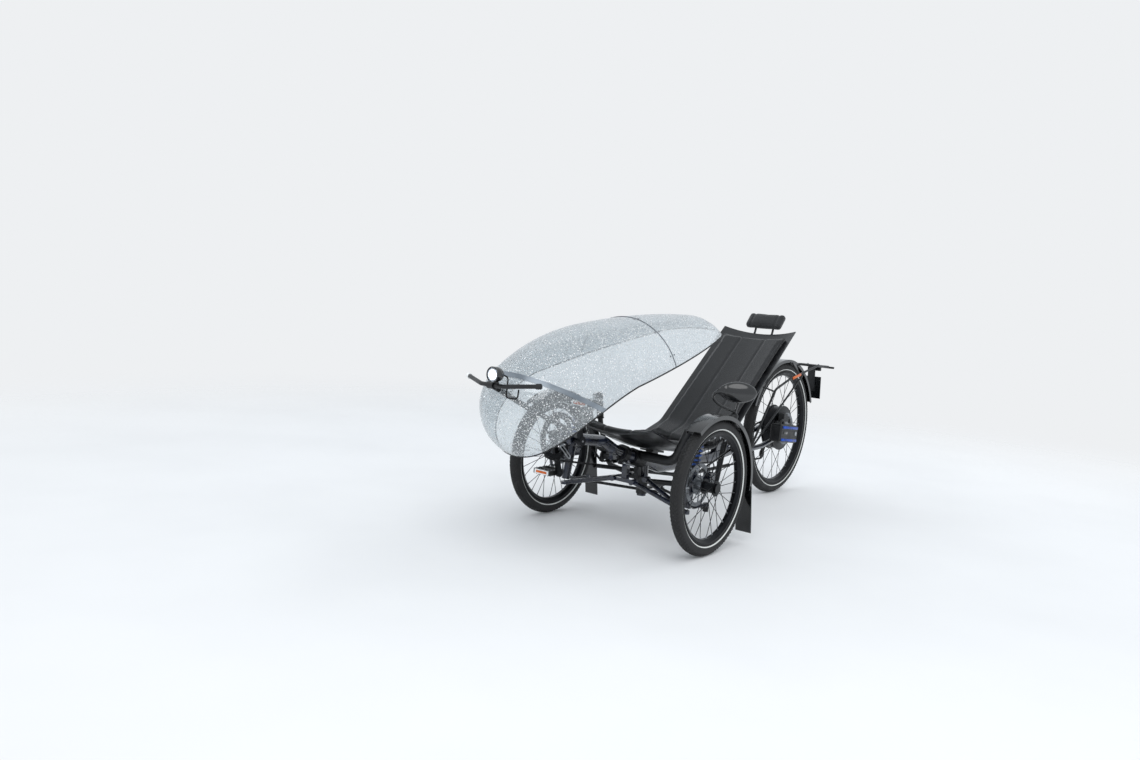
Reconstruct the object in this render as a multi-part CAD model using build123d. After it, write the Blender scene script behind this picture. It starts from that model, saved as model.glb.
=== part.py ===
from build123d import *
import math
import os

# Folding recumbent tricycle with two steered front wheels, a driven rear wheel,
# a folding main tube and a clear front fairing.
# Millimetres. +X forward, +Y to the rider's left, +Z up.
# The model is drawn with x = 0 at the front axle and z = 0 on the ground, and is
# moved by FRAME_SHIFT_X when it is written.

# Wheels
WHEELBASE = 1300.0
TRACK = 754.0
FRONT_BEAD_R = 203.0
FRONT_TYRE_W = 47.0
REAR_BEAD_R = 279.5
REAR_TYRE_W = 52.0
RIM_LIP = 3.0
RIM_DEPTH = 14.0
RIM_WALL = 2.6
FRONT_SPOKES = 28
REAR_SPOKES = 32
SPOKE_R = 1.2
FRONT_HUB_R = 19.0
FRONT_HUB_L = 62.0
HUB_MOTOR_R = 112.0
HUB_MOTOR_W = 66.0
DISC_R = 80.0
DISC_T = 2.2
DISC_SPIDER_R = 24.0
FRONT_DISC_INSET = 52.0
COG_SIZES = (44.0, 36.0, 29.0, 22.0)
COG_PITCH = 5.5
COG_T = 2.0
CHAIN_COG = 1
FRONT_AXLE_R = 7.5
REAR_AXLE_R = 7.0
BEARING_GAP = 0.05
SEAT_GAP = 0.3

# Front suspension and steering
KINGPIN_INSET = 87.0
KINGPIN_Y = TRACK / 2 - KINGPIN_INSET
KINGPIN_TRAIL = 45.0
CASTER_DEG = 12.0
KNUCKLE_R = 17.0
KNUCKLE_LOW_Z = 158.0
KNUCKLE_TOP_Z = 292.0
STRUT_TUBE_R = 15.0
STRUT_TOP_Z = 425.0
SPRING_R = 21.0
SPRING_COILS = 6
STEER_ARM = 150.0
TIE_ROD_Z = 130.0
TIE_ROD_R = 6.0
TIE_ROD_STEP = 15.0
STEER_PIVOT_X = -120.0
STEER_POST_R = 14.0
BAR_R = 11.0
BAR_Z = 190.0
GRIP_R = 16.0
GRIP_FOOT = (-214.0, KINGPIN_Y + 10.0, 372.0)
GRIP_TOP = (-222.0, KINGPIN_Y + 40.0, 505.0)
MIRROR_AT = (-196.0, KINGPIN_Y + 60.0, 588.0)
MIRROR_W = 138.0
MIRROR_H = 80.0
MIRROR_DEPTH = 40.0
MIRROR_TURN_DEG = 35.0

# Frame
MAIN_TUBE_R = 26.0
BOOM_R = 21.0
MAIN_FRONT = (15.0, 0.0, 312.0)
MAIN_JUNCTION = (-228.0, 0.0, 238.0)
FOLD_X = -500.0
FOLD_Z = 196.0
FOLD_PIN_R = 6.0
FOLD_LUG_R = 12.0
FOLD_LUG_T = 12.0
FOLD_FACE_GAP = 0.5
FLANGE_T = 12.0
FLANGE_W = 60.0
FLANGE_H = 60.0
CROSS_TUBE_R = 19.0
CROSS_X = -60.0
CROSS_RAISE = 14.0
WISHBONE_X = (12.0, -80.0)
WISHBONE_Y = 46.0
WISHBONE_Z = 208.0
BALL_DROP = 15.0
CLAMP_GAP = 0.1
CRANK_X = 380.0
CRANK_Z = 400.0
CRANK_LENGTH = 152.0
CRANK_AXLE_R = 9.0
PEDAL_SPINDLE_R = 5.0
CRANK_DEG = 251.0
BRACKET_SHELL_R = 21.0
BRACKET_SHELL_L = 68.0
CRANK_ARM_Y = 64.0
CRANK_ARM_T = 12.0
CHAINRING_R = 82.0
CHAINRING_T = 3.0
CHAIN_Y = -45.0
CHAIN_W = 8.0
CHAIN_H = 8.0
IDLER_R = 30.0
POWER_IDLER_R = 18.0
POWER_CORNER = (105.0, 284.0)
HANGER_TOP = CRANK_Z - 57.0
CHAIN_GUIDE_R = 8.5
CHAIN_FOLD_GAP = 95.0
JOCKEY_R = 20.0
PEDAL_W = 78.0
PEDAL_L = 78.0
PEDAL_T = 18.0
PEDAL_GAP = 6.0

# Seat
SEAT_HALF_W = 185.0
SEAT_SAG = 34.0
SEAT_T = 5.0
CUSHION_HALF_W = 160.0
CUSHION_T = 26.0
SEAT_PATH = ((135.0, 402.0), (-60.0, 330.0), (-330.0, 292.0), (-520.0, 352.0), (-1035.0, 795.0))
SEAT_BENDS = (220.0, 190.0, 160.0)

# Fairing: a shell of revolution about an axis that rises to the rear
FAIRING_NOSE = (750.4, 494.6)
FAIRING_TILT_DEG = 9.32
FAIRING_LENGTH = 1309.7
FAIRING_R = 239.7
FAIRING_APEX = 496.6
FAIRING_NOSE_R = 177.2
FAIRING_TAIL_R = 189.4
FAIRING_WALL = 2.0
FAIRING_REACH = 2 * FAIRING_LENGTH
BAND_X = 600.0
BAND_Z = 588.0
BAND_TILT_DEG = 22.4
BAND_W = 9.0
BAND_T = 1.4
REAR_SEAM_S = 712.0
RIM_TAIL = (-640.0, 853.0)
RIM_BEND = (300.0, 610.0)
RIM_MID = (487.0, 515.0)
RIM_FRONT = (668.0, 325.0)

# Lamp and its stem
STEM_R = 9.0
STEM_PIN_R = 4.0
STEM_PIVOT = (386.0, 0.0, 434.0)
STEM_KNEE = (600.0, 0.0, 520.0)
STEM_HOLE_GAP = 0.3
CABLE_R = 2.5
CABLE_BEND = 11.0
LAMP_BAR_R = 7.0
LAMP_BAR_TIP = (725.0, 158.0, 612.0)
LAMP_BAR_MID = (777.0, 0.0, 600.0)
LAMP_R = 25.0
LAMP_L = 38.0
LAMP_AT = (782.0, 24.0, 636.0)
CABLE_ROUTE = ((761.0, 24.0, 638.0), (739.0, 34.0, 627.0), (766.0, 56.0, 566.0), (752.0, 92.0, 566.0),
               (753.8, 96.0, 595.6))

# Rear section, placed from the rear axle
REAR_R = REAR_BEAD_R + REAR_TYRE_W
REAR_X = -WHEELBASE
SWING_PIVOT = (REAR_X + 430.0, 0.0, 262.0)
SWING_HALF_W = 62.0
SWING_TUBE_R = 12.0
PIVOT_BOLT_R = 8.0
HUB_BOSS = 5.0
REAR_DISC_Y = 49.0
BATTERY_AT = (REAR_X + 165.0, 118.0, 330.0)
BATTERY_L = 190.0
BATTERY_W = 58.0
BATTERY_H = 86.0
SHOCK_FRONT = (SWING_PIVOT[0] + 154.0, 0.0, 293.0)
SHOCK_R = 10.0
SHOCK_SPRING_R = 20.0
SHOCK_COILS = 6
HORN_TOP = (SWING_PIVOT[0] + 10.0, 0.0, 325.0)
HORN_BALL_R = 12.0
RACK_Y = 80.0
RACK_TUBE_R = 5.5
RACK_REAR = (REAR_X - 395.0, 108.0, 640.0)
RACK_SHOULDER = (REAR_X + 220.0, 540.0)
RACK_OVER_AXLE = (REAR_X + 70.0, 588.0)
RACK_CREST = (REAR_X - 245.0, 650.0)
RACK_STAY_TOP = (REAR_X - 92.0, 620.0)
RACK_BEND = 60.0
DECK_L = 44.0
DECK_T = 5.0
DECK_BITE = 1.5
FENDER_W = 66.0
FENDER_GAP = 16.0
FENDER_T = 2.5
FENDER_SIDE = 14.0
PLATE_W = 105.0
PLATE_H = 118.0
PLATE_T = 3.0
DERAILLEUR_TOP = (REAR_X + 12.0, REAR_R - 68.0)
DERAILLEUR_LOW = (REAR_X + 50.0, REAR_R - 138.0)

# The origin is under the middle of the overall box
FRAME_SHIFT_X = 452.5

FRONT_R = FRONT_BEAD_R + FRONT_TYRE_W
WHEEL_Y = TRACK / 2
FOLD_TUBE_Z = FOLD_Z + FOLD_LUG_R + 1 + MAIN_TUBE_R
CASTER_TAN = math.tan(math.radians(CASTER_DEG))
SIDES = (("left", 1), ("right", -1))


def kingpin_x(z):
    """Forward place of the steering axis at height z."""
    return KINGPIN_TRAIL - z * CASTER_TAN


def kingpin_at(side, z):
    return (kingpin_x(z), side * KINGPIN_Y, z)


def rod(start, end, radius):
    """Round bar between two points."""
    a, b = Vector(*start), Vector(*end)
    base = Plane(origin=a, z_dir=b - a)
    return base * Cylinder(radius, (b - a).length, align=(Align.CENTER, Align.CENTER, Align.MIN))


def bent_rod(points, radius, bend):
    """Round bar along straight runs joined by arcs of one bend radius."""
    path = FilletPolyline(*[Vector(*p) for p in points], radius=bend)
    return sweep(Plane(origin=path @ 0, z_dir=path % 0) * Circle(radius), path=path)


def disc_y(centre, radius, width):
    """Cylinder whose axis runs along Y, centred on a point."""
    return Pos(*centre) * Rot(90, 0, 0) * Cylinder(radius, width)


def ring_y(centre, outer, inner, width):
    return disc_y(centre, outer, width) - disc_y(centre, inner, width + 2)


def spin_y(section, centre):
    """Revolve an (axial, radial) section, drawn on the XY plane, about an axis along Y."""
    flat = Plane(origin=centre, x_dir=(0, 1, 0), z_dir=(1, 0, 0)) * section
    return revolve(flat, Axis(centre, (0, 1, 0)))


def fuse(*solids):
    """Join solids that meet into one."""
    joined = solids[0]
    for solid in solids[1:]:
        joined = joined + solid
    return joined


def tyre(centre, bead_r, width):
    """Tyre with a round casing and beads that sit inside the rim's lips."""
    casing = width / 2
    neck = 0.5 * width - 11.0
    middle = bead_r + casing
    section = Pos(0, middle) * Circle(casing)
    section -= Pos(0, bead_r + RIM_LIP / 2) * Rectangle(width, RIM_LIP + 2, align=(Align.CENTER, Align.MAX))
    section += Pos(0, bead_r - 0.7) * Rectangle(2 * neck, casing, align=(Align.CENTER, Align.MIN))
    return spin_y(section, centre)


def rim(centre, bead_r, width):
    """Rim with a lip each side and a well that carries the beads."""
    neck = 0.5 * width - 11.0 + SEAT_GAP
    outer = neck + RIM_WALL
    lip = bead_r + RIM_LIP
    floor = bead_r - 1.0
    bottom = floor - RIM_DEPTH
    points = [(outer, lip), (neck, lip), (neck, floor), (-neck, floor), (-neck, lip), (-outer, lip),
              (-outer, floor - 2), (-outer * 0.45, bottom), (outer * 0.45, bottom), (outer, floor - 2)]
    return spin_y(make_face(Polyline(*points, close=True)), centre)


def spokes(centre, count, hub_r, rim_r, flange_y, cross_deg):
    """Wire spokes laced from two hub flanges, leaning forward and back in turn."""
    cx, cy, cz = centre
    wires = []
    for i in range(count):
        angle = math.radians(360.0 * i / count)
        lean = math.radians(cross_deg) * (1 if (i // 2) % 2 else -1)
        y = flange_y if i % 2 else -flange_y
        foot = (cx + hub_r * math.cos(angle + lean), cy + y, cz + hub_r * math.sin(angle + lean))
        head = (cx + rim_r * math.cos(angle), cy, cz + rim_r * math.sin(angle))
        wires.append(rod(foot, head, SPOKE_R))
    return wires


def front_wheel(side):
    """Rim, hub and spokes of one front wheel, bored for its stub axle."""
    centre = (0, side * WHEEL_Y, FRONT_R)
    hub = disc_y(centre, FRONT_HUB_R, FRONT_HUB_L)
    flange_y = FRONT_HUB_L / 2 - 8
    for y in (flange_y, -flange_y):
        hub += disc_y((0, centre[1] + y, FRONT_R), FRONT_HUB_R + 9, 4)
    rim_floor = FRONT_BEAD_R - RIM_DEPTH + 1
    wires = spokes(centre, FRONT_SPOKES, FRONT_HUB_R + 5, rim_floor, flange_y, 38)
    wheel = rim(centre, FRONT_BEAD_R, FRONT_TYRE_W) + hub + wires
    bore_end = centre[1] + side * (FRONT_HUB_L / 2 - 6)
    bore_start = centre[1] - side * (FRONT_HUB_L / 2 + 5)
    bore = rod((0, bore_start, FRONT_R), (0, bore_end, FRONT_R), FRONT_AXLE_R + BEARING_GAP)
    return wheel - bore


def brake_disc(centre, hub_r):
    """Brake disc with a swept ring, six arms and a round centre."""
    ring = ring_y(centre, DISC_R, DISC_R - 15, DISC_T)
    middle = ring_y(centre, DISC_SPIDER_R + hub_r, hub_r, DISC_T)
    cx, cy, cz = centre
    arms = []
    for i in range(6):
        a = math.radians(60 * i)
        b = a + math.radians(24)
        start = Vector(cx + (hub_r + 6) * math.cos(a), cy, cz + (hub_r + 6) * math.sin(a))
        end = Vector(cx + (DISC_R - 6) * math.cos(b), cy, cz + (DISC_R - 6) * math.sin(b))
        along = end - start
        place = Plane(origin=(start + end) / 2, x_dir=along, z_dir=(0, 1, 0))
        arms.append(place * Box(along.length, 7, DISC_T))
    return ring + middle + arms


def front_disc(side):
    centre = (0, side * (WHEEL_Y - FRONT_DISC_INSET), FRONT_R)
    return brake_disc(centre, FRONT_AXLE_R + 5) + hub_carrier(side)


def hub_carrier(side):
    """Short sleeve that ties the disc to the hub."""
    outer = side * (WHEEL_Y - FRONT_HUB_L / 2 - SEAT_GAP)
    inner = side * (WHEEL_Y - FRONT_DISC_INSET - DISC_T / 2)
    sleeve = rod((0, outer, FRONT_R), (0, inner, FRONT_R), 19)
    return sleeve - rod((0, outer, FRONT_R), (0, inner, FRONT_R), FRONT_AXLE_R + 5)


def knuckle(side):
    """Upright on the steering axis, with stub axle, steering arm and brake caliper."""
    low, top = kingpin_at(side, KNUCKLE_LOW_Z), kingpin_at(side, KNUCKLE_TOP_Z)
    body = rod(low, top, KNUCKLE_R)
    boss = rod((0, side * (KINGPIN_Y - 4), FRONT_R), (0, side * (KINGPIN_Y + 26), FRONT_R), 15)
    axle_end = side * (WHEEL_Y + FRONT_HUB_L / 2 - 7)
    axle = rod((0, side * KINGPIN_Y, FRONT_R), (0, axle_end, FRONT_R), FRONT_AXLE_R)
    pin_x = kingpin_x(TIE_ROD_Z)
    y, arm_z = side * KINGPIN_Y, TIE_ROD_Z + 22
    end_x = pin_x - STEER_ARM
    arm = bent_rod([(pin_x - 4, y, 176), (pin_x - 60, y, arm_z), (end_x, y, arm_z)], 7, 40)
    arm += rod((end_x, y, arm_z - 6), (end_x, y, arm_z + 6), 11)
    return fuse(body, boss, axle, arm, front_caliper(side))


def front_caliper(side):
    """Brake caliper astride the disc, with the arm that holds it on the upright."""
    disc_at = side * (WHEEL_Y - FRONT_DISC_INSET)
    body = Pos(-76, disc_at, FRONT_R + 16) * Box(38, 30, 44)
    slot = Pos(-66, disc_at, FRONT_R + 16) * Box(42, DISC_T + 4, 60)
    bracket = Pos(-46, side * (KINGPIN_Y + 16.5), FRONT_R + 12) * Box(64, 9, 20)
    return bracket + (body - slot)


def strut(side):
    """Suspension strut on the steering axis, with an open coil spring round it."""
    foot = kingpin_at(side, KNUCKLE_TOP_Z + SEAT_GAP)
    tube = rod(foot, kingpin_at(side, STRUT_TOP_Z - 22), STRUT_TUBE_R - 3)
    rod_top = rod(kingpin_at(side, STRUT_TOP_Z - 24), kingpin_at(side, STRUT_TOP_Z - SEAT_GAP), 8)
    low = KNUCKLE_TOP_Z + 8
    high = STRUT_TOP_Z - 40
    seats = []
    for z in (low - 4, high + 2):
        seats.append(rod(kingpin_at(side, z), kingpin_at(side, z + 4), SPRING_R + 3))
    pitch = (high - low) / SPRING_COILS
    coils = []
    for i in range(SPRING_COILS):
        z = low + (i + 0.5) * pitch
        coils.append(rod(kingpin_at(side, z - 3), kingpin_at(side, z + 3), SPRING_R))
    return fuse(tube, rod_top, *seats, *coils)


def fender(centre, radius, width, start_deg, end_deg):
    """Curved mudguard: a shallow channel section turned about the axle."""
    half = width / 2
    arc = Pos(0, radius) * Rectangle(width, FENDER_T)
    sides = Pos(-half + FENDER_T / 2, radius - FENDER_SIDE / 2) * Rectangle(FENDER_T, FENDER_SIDE)
    sides += Pos(half - FENDER_T / 2, radius - FENDER_SIDE / 2) * Rectangle(FENDER_T, FENDER_SIDE)
    section = Plane(origin=centre, x_dir=(0, 1, 0), z_dir=(1, 0, 0)) * (arc + sides)
    section = section.rotate(Axis(centre, (0, 1, 0)), 90.0 - start_deg)
    return revolve(section, Axis(centre, (0, -1, 0)), end_deg - start_deg)


def front_fender(side):
    """Front mudguard with its stays and flap; it turns with the wheel."""
    centre = (0, side * WHEEL_Y, FRONT_R)
    guard = fender(centre, FRONT_R + FENDER_GAP, 60, 54, 188)
    flap = Pos(-FRONT_R - FENDER_GAP - 8, side * WHEEL_Y, FRONT_R - 115) * Rot(0, 9, 0) * Box(4, 66, 190)
    inner = WHEEL_Y - 30
    stays = []
    for angle, way, z in ((70, 1, 270), (150, -1, 284)):
        a = math.radians(angle)
        reach = FRONT_R + FENDER_GAP
        tip = (reach * math.cos(a), side * inner, FRONT_R + reach * math.sin(a))
        start = kingpin_x(z) + way * (KNUCKLE_R + SEAT_GAP + 2)
        knee = (start + way * 16, side * (KINGPIN_Y + 2), z + 2)
        stays.append(bent_rod([(start, side * KINGPIN_Y, z), knee, tip], 4, 7))
    return fuse(guard, flap, *stays)


def handlebar():
    """Under-seat bar: pivot post, cross tube, two uprights and the steering arm."""
    post = rod((STEER_PIVOT_X, 0, TIE_ROD_Z + 10), (STEER_PIVOT_X, 0, BAR_Z + 14), STEER_POST_R + 8)
    parts = [post]
    for _, side in SIDES:
        points = [(STEER_PIVOT_X, side * 2, BAR_Z), (STEER_PIVOT_X - 80, side * 120, BAR_Z),
                  (-240, side * (KINGPIN_Y - 28), BAR_Z + 10), (GRIP_FOOT[0], side * GRIP_FOOT[1], GRIP_FOOT[2]),
                  (GRIP_TOP[0], side * GRIP_TOP[1], GRIP_TOP[2])]
        parts.append(bent_rod(points, BAR_R, 45))
    arm_end = STEER_PIVOT_X - STEER_ARM
    arm = Pos((STEER_PIVOT_X + arm_end) / 2, 0, TIE_ROD_Z + 26) * Box(STEER_ARM, 20, 8)
    pin = rod((arm_end, 0, TIE_ROD_Z - 20), (arm_end, 0, TIE_ROD_Z + 30), 5)
    parts += [arm, pin, rod((arm_end, 0, TIE_ROD_Z + 22), (arm_end, 0, TIE_ROD_Z + 30), 11)]
    bore = rod((STEER_PIVOT_X, 0, TIE_ROD_Z), (STEER_PIVOT_X, 0, BAR_Z + 20), STEER_POST_R + BEARING_GAP)
    return fuse(*parts) - bore


def grip(side):
    """Hand grip with its brake lever."""
    foot, top = Vector(*GRIP_FOOT), Vector(*GRIP_TOP)
    along = (top - foot).normalized()
    start, end = foot + along * 22, top - along * 4
    place = ((start.X, side * start.Y, start.Z), (end.X, side * end.Y, end.Z))
    hand = rod(*place, GRIP_R) - rod(*place, BAR_R + 0.02)
    perch = Vector(place[1][0], place[1][1], place[1][2])
    lever = bent_rod([(perch.X + 14, perch.Y, perch.Z - 10), (perch.X + 32, perch.Y, perch.Z - 8),
                      (perch.X + 36, perch.Y - side * 2, perch.Z - 84)], 5, 12)
    return hand + lever


def mirror():
    """Oval mirror on a short stalk at the top of the left grip, turned to the rider."""
    foot, top = Vector(*GRIP_FOOT), Vector(*GRIP_TOP)
    along = (top - foot).normalized()
    base, knee = top + along * SEAT_GAP, top + along * 42
    stalk = bent_rod([(base.X, base.Y, base.Z), (knee.X, knee.Y, knee.Z), MIRROR_AT], 5, 18)
    oval = scale(Sphere(1), by=(MIRROR_DEPTH / 2, MIRROR_W / 2, MIRROR_H / 2))
    back = Pos(MIRROR_DEPTH / 4, 0, 0) * Box(MIRROR_DEPTH, 2 * MIRROR_W, 2 * MIRROR_H)
    housing = Pos(*MIRROR_AT) * Rot(0, 0, MIRROR_TURN_DEG) * (oval & back)
    return stalk + housing


def tie_rod(side):
    """Rod from the steering arm's pin out to a knuckle's arm."""
    level = TIE_ROD_Z + side * TIE_ROD_STEP / 2
    inner = (STEER_PIVOT_X - STEER_ARM, 0, level)
    outer = (kingpin_x(TIE_ROD_Z) - STEER_ARM, side * KINGPIN_Y, TIE_ROD_Z + 4)
    eye = rod((inner[0], 0, level - 6), (inner[0], 0, level + 6), 11)
    shaft = rod(inner, outer, TIE_ROD_R)
    ball = rod((outer[0], outer[1], outer[2] - 9), (outer[0], outer[1], outer[2] + 9), 11)
    bore = rod((inner[0], 0, level - 8), (inner[0], 0, level + 8), 5 + BEARING_GAP)
    return fuse(shaft, eye, ball) - bore


def main_frame():
    """Main tube from the boom clamp back to the fold, with the steering post."""
    face_x = FOLD_X + FOLD_FACE_GAP / 2
    end = (face_x + FLANGE_T / 2, 0, FOLD_TUBE_Z)
    tube = bent_rod([MAIN_FRONT, MAIN_JUNCTION, end], MAIN_TUBE_R, 120)
    junction_z = main_tube_z(STEER_PIVOT_X)
    x = STEER_PIVOT_X
    post = rod((x, 0, TIE_ROD_Z + 6), (x, 0, junction_z), STEER_POST_R)
    stop = rod((x, 0, BAR_Z + 14 + SEAT_GAP), (x, 0, junction_z), STEER_POST_R + 8)
    cap = rod((x, 0, TIE_ROD_Z + 1), (x, 0, TIE_ROD_Z + 10 - SEAT_GAP), STEER_POST_R + 4)
    hinge = hinge_lugs((1, -1), 1)
    return fuse(tube, post, stop, cap, flange(1), hinge, wishbone_lug(WISHBONE_X[0])) - fold_pin_bore()


def flange(towards):
    """End plate of one half of the frame, above the fold's lugs."""
    x = FOLD_X + towards * (FOLD_FACE_GAP + FLANGE_T) / 2
    return Pos(x, 0, FOLD_Z + FOLD_LUG_R + 1 + FLANGE_H / 2) * Box(FLANGE_T, FLANGE_W, FLANGE_H)


def main_tube_z(x):
    """Height of the main tube's centre line in front of its bend."""
    front, bend = MAIN_FRONT, MAIN_JUNCTION
    return front[2] + (x - front[0]) * (bend[2] - front[2]) / (bend[0] - front[0])


def hinge_lugs(rows, towards):
    """Knuckles of the fold hinge: outer pair on the front half, middle one on the rear."""
    lugs = None
    height = FOLD_LUG_R + 8
    for row in rows:
        y = row * (FOLD_LUG_T + FOLD_FACE_GAP)
        eye = disc_y((FOLD_X, y, FOLD_Z), FOLD_LUG_R, FOLD_LUG_T)
        web = Pos(FOLD_X + towards * (FOLD_FACE_GAP + FLANGE_T) / 2, y, FOLD_Z + height / 2)
        eye += web * Box(FLANGE_T, FOLD_LUG_T, height)
        lugs = eye if lugs is None else lugs + eye
    return lugs


def fold_pin_bore():
    return disc_y((FOLD_X, 0, FOLD_Z), FOLD_PIN_R + BEARING_GAP, 80)


def fold_pin():
    """Hinge pin with a head on the left; its right end carries the chain idler."""
    reach = 1.5 * FOLD_LUG_T + FOLD_FACE_GAP
    end = CHAIN_Y - CHAIN_W / 2 - 3
    pin = rod((FOLD_X, reach + 6, FOLD_Z), (FOLD_X, end, FOLD_Z), FOLD_PIN_R)
    head = rod((FOLD_X, reach + SEAT_GAP, FOLD_Z), (FOLD_X, reach + 6, FOLD_Z), FOLD_PIN_R + 4)
    return pin + head


def front_boom():
    """Boom from the main tube's clamp to the crank housing, with the ears of the lamp stem."""
    shell = disc_y((CRANK_X, 0, CRANK_Z), BRACKET_SHELL_R, BRACKET_SHELL_L)
    start, knee = clamp_point(2 * SEAT_GAP), clamp_point(78)
    tube = bent_rod([start, knee, (165, 0, 374), (CRANK_X - 6, 0, CRANK_Z)], BOOM_R, 120)
    hanger_x, hanger_z = power_idler_centre()
    hanger_low = hanger_z - FOLD_PIN_R - 2
    hanger = Pos(hanger_x, 0, (hanger_low + HANGER_TOP) / 2) * Box(24, 18, HANGER_TOP - hanger_low)
    pin = rod((hanger_x, 0, hanger_z), (hanger_x, CHAIN_Y - CHAIN_W / 2 - 3, hanger_z), FOLD_PIN_R)
    axle_bore = disc_y((CRANK_X, 0, CRANK_Z), CRANK_AXLE_R + BEARING_GAP, 90)
    return fuse(tube, shell, hanger, pin, *stem_bracket()) - axle_bore


def clamp_point(distance):
    """Point ahead of the main tube's mouth, along its own axis."""
    a, b = Vector(*MAIN_FRONT), Vector(*MAIN_JUNCTION)
    point = a + (a - b).normalized() * distance
    return (point.X, 0, point.Z)


def boom_clamp():
    """Split collar that grips the boom in front of the main tube's mouth, with its lever boss."""
    ring = rod(clamp_point(SEAT_GAP), clamp_point(30), MAIN_TUBE_R + 5)
    middle = clamp_point(15)
    ears = Pos(middle[0] + 7, 0, middle[2] - MAIN_TUBE_R - 6) * Box(16, 18, 22)
    slit = Pos(middle[0], 0, middle[2] - MAIN_TUBE_R - 4) * Box(70, 2, 40)
    return (ring + ears - slit) - rod(clamp_point(0), clamp_point(60), BOOM_R + CLAMP_GAP)


def cross_boom():
    """Cross tube that rises to the strut towers, one each side."""
    parts = []
    top_x = kingpin_x(STRUT_TOP_Z)
    level = main_tube_z(CROSS_X) + CROSS_RAISE
    for _, side in SIDES:
        points = [(CROSS_X, side * 14, level), (CROSS_X + 6, side * (KINGPIN_Y - 107), level),
                  (top_x, side * (KINGPIN_Y - 50), STRUT_TOP_Z + 6)]
        parts.append(bent_rod(points, CROSS_TUBE_R, 60))
        tower = rod(kingpin_at(side, STRUT_TOP_Z), kingpin_at(side, STRUT_TOP_Z + 14), 24)
        bridge = Pos(top_x, side * (KINGPIN_Y - 28), STRUT_TOP_Z + 9) * Box(38, 60, 13)
        parts += [tower, bridge]
    ends = (CROSS_X - 34, CROSS_X + 34)
    collar = rod((ends[0], 0, main_tube_z(ends[0])), (ends[1], 0, main_tube_z(ends[1])), MAIN_TUBE_R + 7)
    tube_hole = rod((-200, 0, main_tube_z(-200)), (40, 0, main_tube_z(40)), MAIN_TUBE_R + CLAMP_GAP)
    return fuse(collar, *parts, wishbone_lug(WISHBONE_X[1])) - tube_hole


def wishbone(side):
    """Lower arm from the frame out to the foot of the knuckle."""
    ball = kingpin_at(side, KNUCKLE_LOW_Z - BALL_DROP)
    parts = [rod((ball[0], ball[1], ball[2] - 6), (ball[0], ball[1], ball[2] + 6), 16)]
    y = side * WISHBONE_Y
    for x in WISHBONE_X:
        parts.append(rod((x, y, WISHBONE_Z), ball, 9))
        parts.append(rod((x - 16, y, WISHBONE_Z), (x + 16, y, WISHBONE_Z), 11))
    return fuse(*parts)


def wishbone_lug(x):
    """Lug below the main tube that carries one end of both lower arms."""
    bar = Pos(x, 0, WISHBONE_Z) * Box(14, 2 * (WISHBONE_Y - 11 - SEAT_GAP), 14)
    web_x = min(x, MAIN_FRONT[0] - 14)
    top = main_tube_z(web_x) - 20
    web = Pos(web_x, 0, (WISHBONE_Z + top) / 2) * Box(20, 24, top - WISHBONE_Z)
    return bar + web


def seat_section(half_w, sag, thickness, lift):
    """Dished strip across the seat, drawn as two arcs."""
    low = [(-half_w, sag + lift), (0, lift), (half_w, sag + lift)]
    high = [(half_w, sag + lift + thickness), (0, lift + thickness), (-half_w, sag + lift + thickness)]
    under = ThreePointArc(*low)
    over = ThreePointArc(*high)
    return make_face([under, Line(low[2], high[0]), over, Line(high[2], low[0])])


def seat_sweep(path_points, bends, half_w, sag, thickness, lift):
    """Sweep a dished strip along the seat's side line."""
    path = FilletPolyline(*[Vector(x, 0, z) for x, z in path_points], radius=bends)
    start = Plane(origin=path @ 0, x_dir=(0, -1, 0), z_dir=path % 0)
    section = start * seat_section(half_w, sag, thickness, lift)
    return sweep(section, path=path)


def seat_shell():
    """Hard bucket shell of the seat, from the front lip to the shoulders."""
    return seat_sweep(SEAT_PATH, SEAT_BENDS, SEAT_HALF_W, SEAT_SAG, SEAT_T, 0)


def along_seat(index, share):
    """Point between two corners of the seat's side line."""
    a, b = SEAT_PATH[index], SEAT_PATH[index + 1]
    return (a[0] + (b[0] - a[0]) * share, a[1] + (b[1] - a[1]) * share)


def cushion(start, middle, end, bend):
    lift = SEAT_T + SEAT_GAP
    sag = SEAT_SAG * (CUSHION_HALF_W / SEAT_HALF_W) ** 2
    return seat_sweep((start, middle, end), (bend,), CUSHION_HALF_W, sag, CUSHION_T, lift)


def write(name, solid):
    """Write one piece, moved to the record's frame."""
    moved = Pos(FRAME_SHIFT_X, 0, 0) * solid
    export_step(moved, f"parts/{name}.step")


def below_seat(index, share, depth):
    """Point at a depth under the shell, part of the way along one run of the seat's side line."""
    a, b = SEAT_PATH[index], SEAT_PATH[index + 1]
    length = math.hypot(b[0] - a[0], b[1] - a[1])
    x, z = along_seat(index, share)
    return (x + depth * (b[1] - a[1]) / length * -1, z + depth * (b[0] - a[0]) / length)


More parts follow.
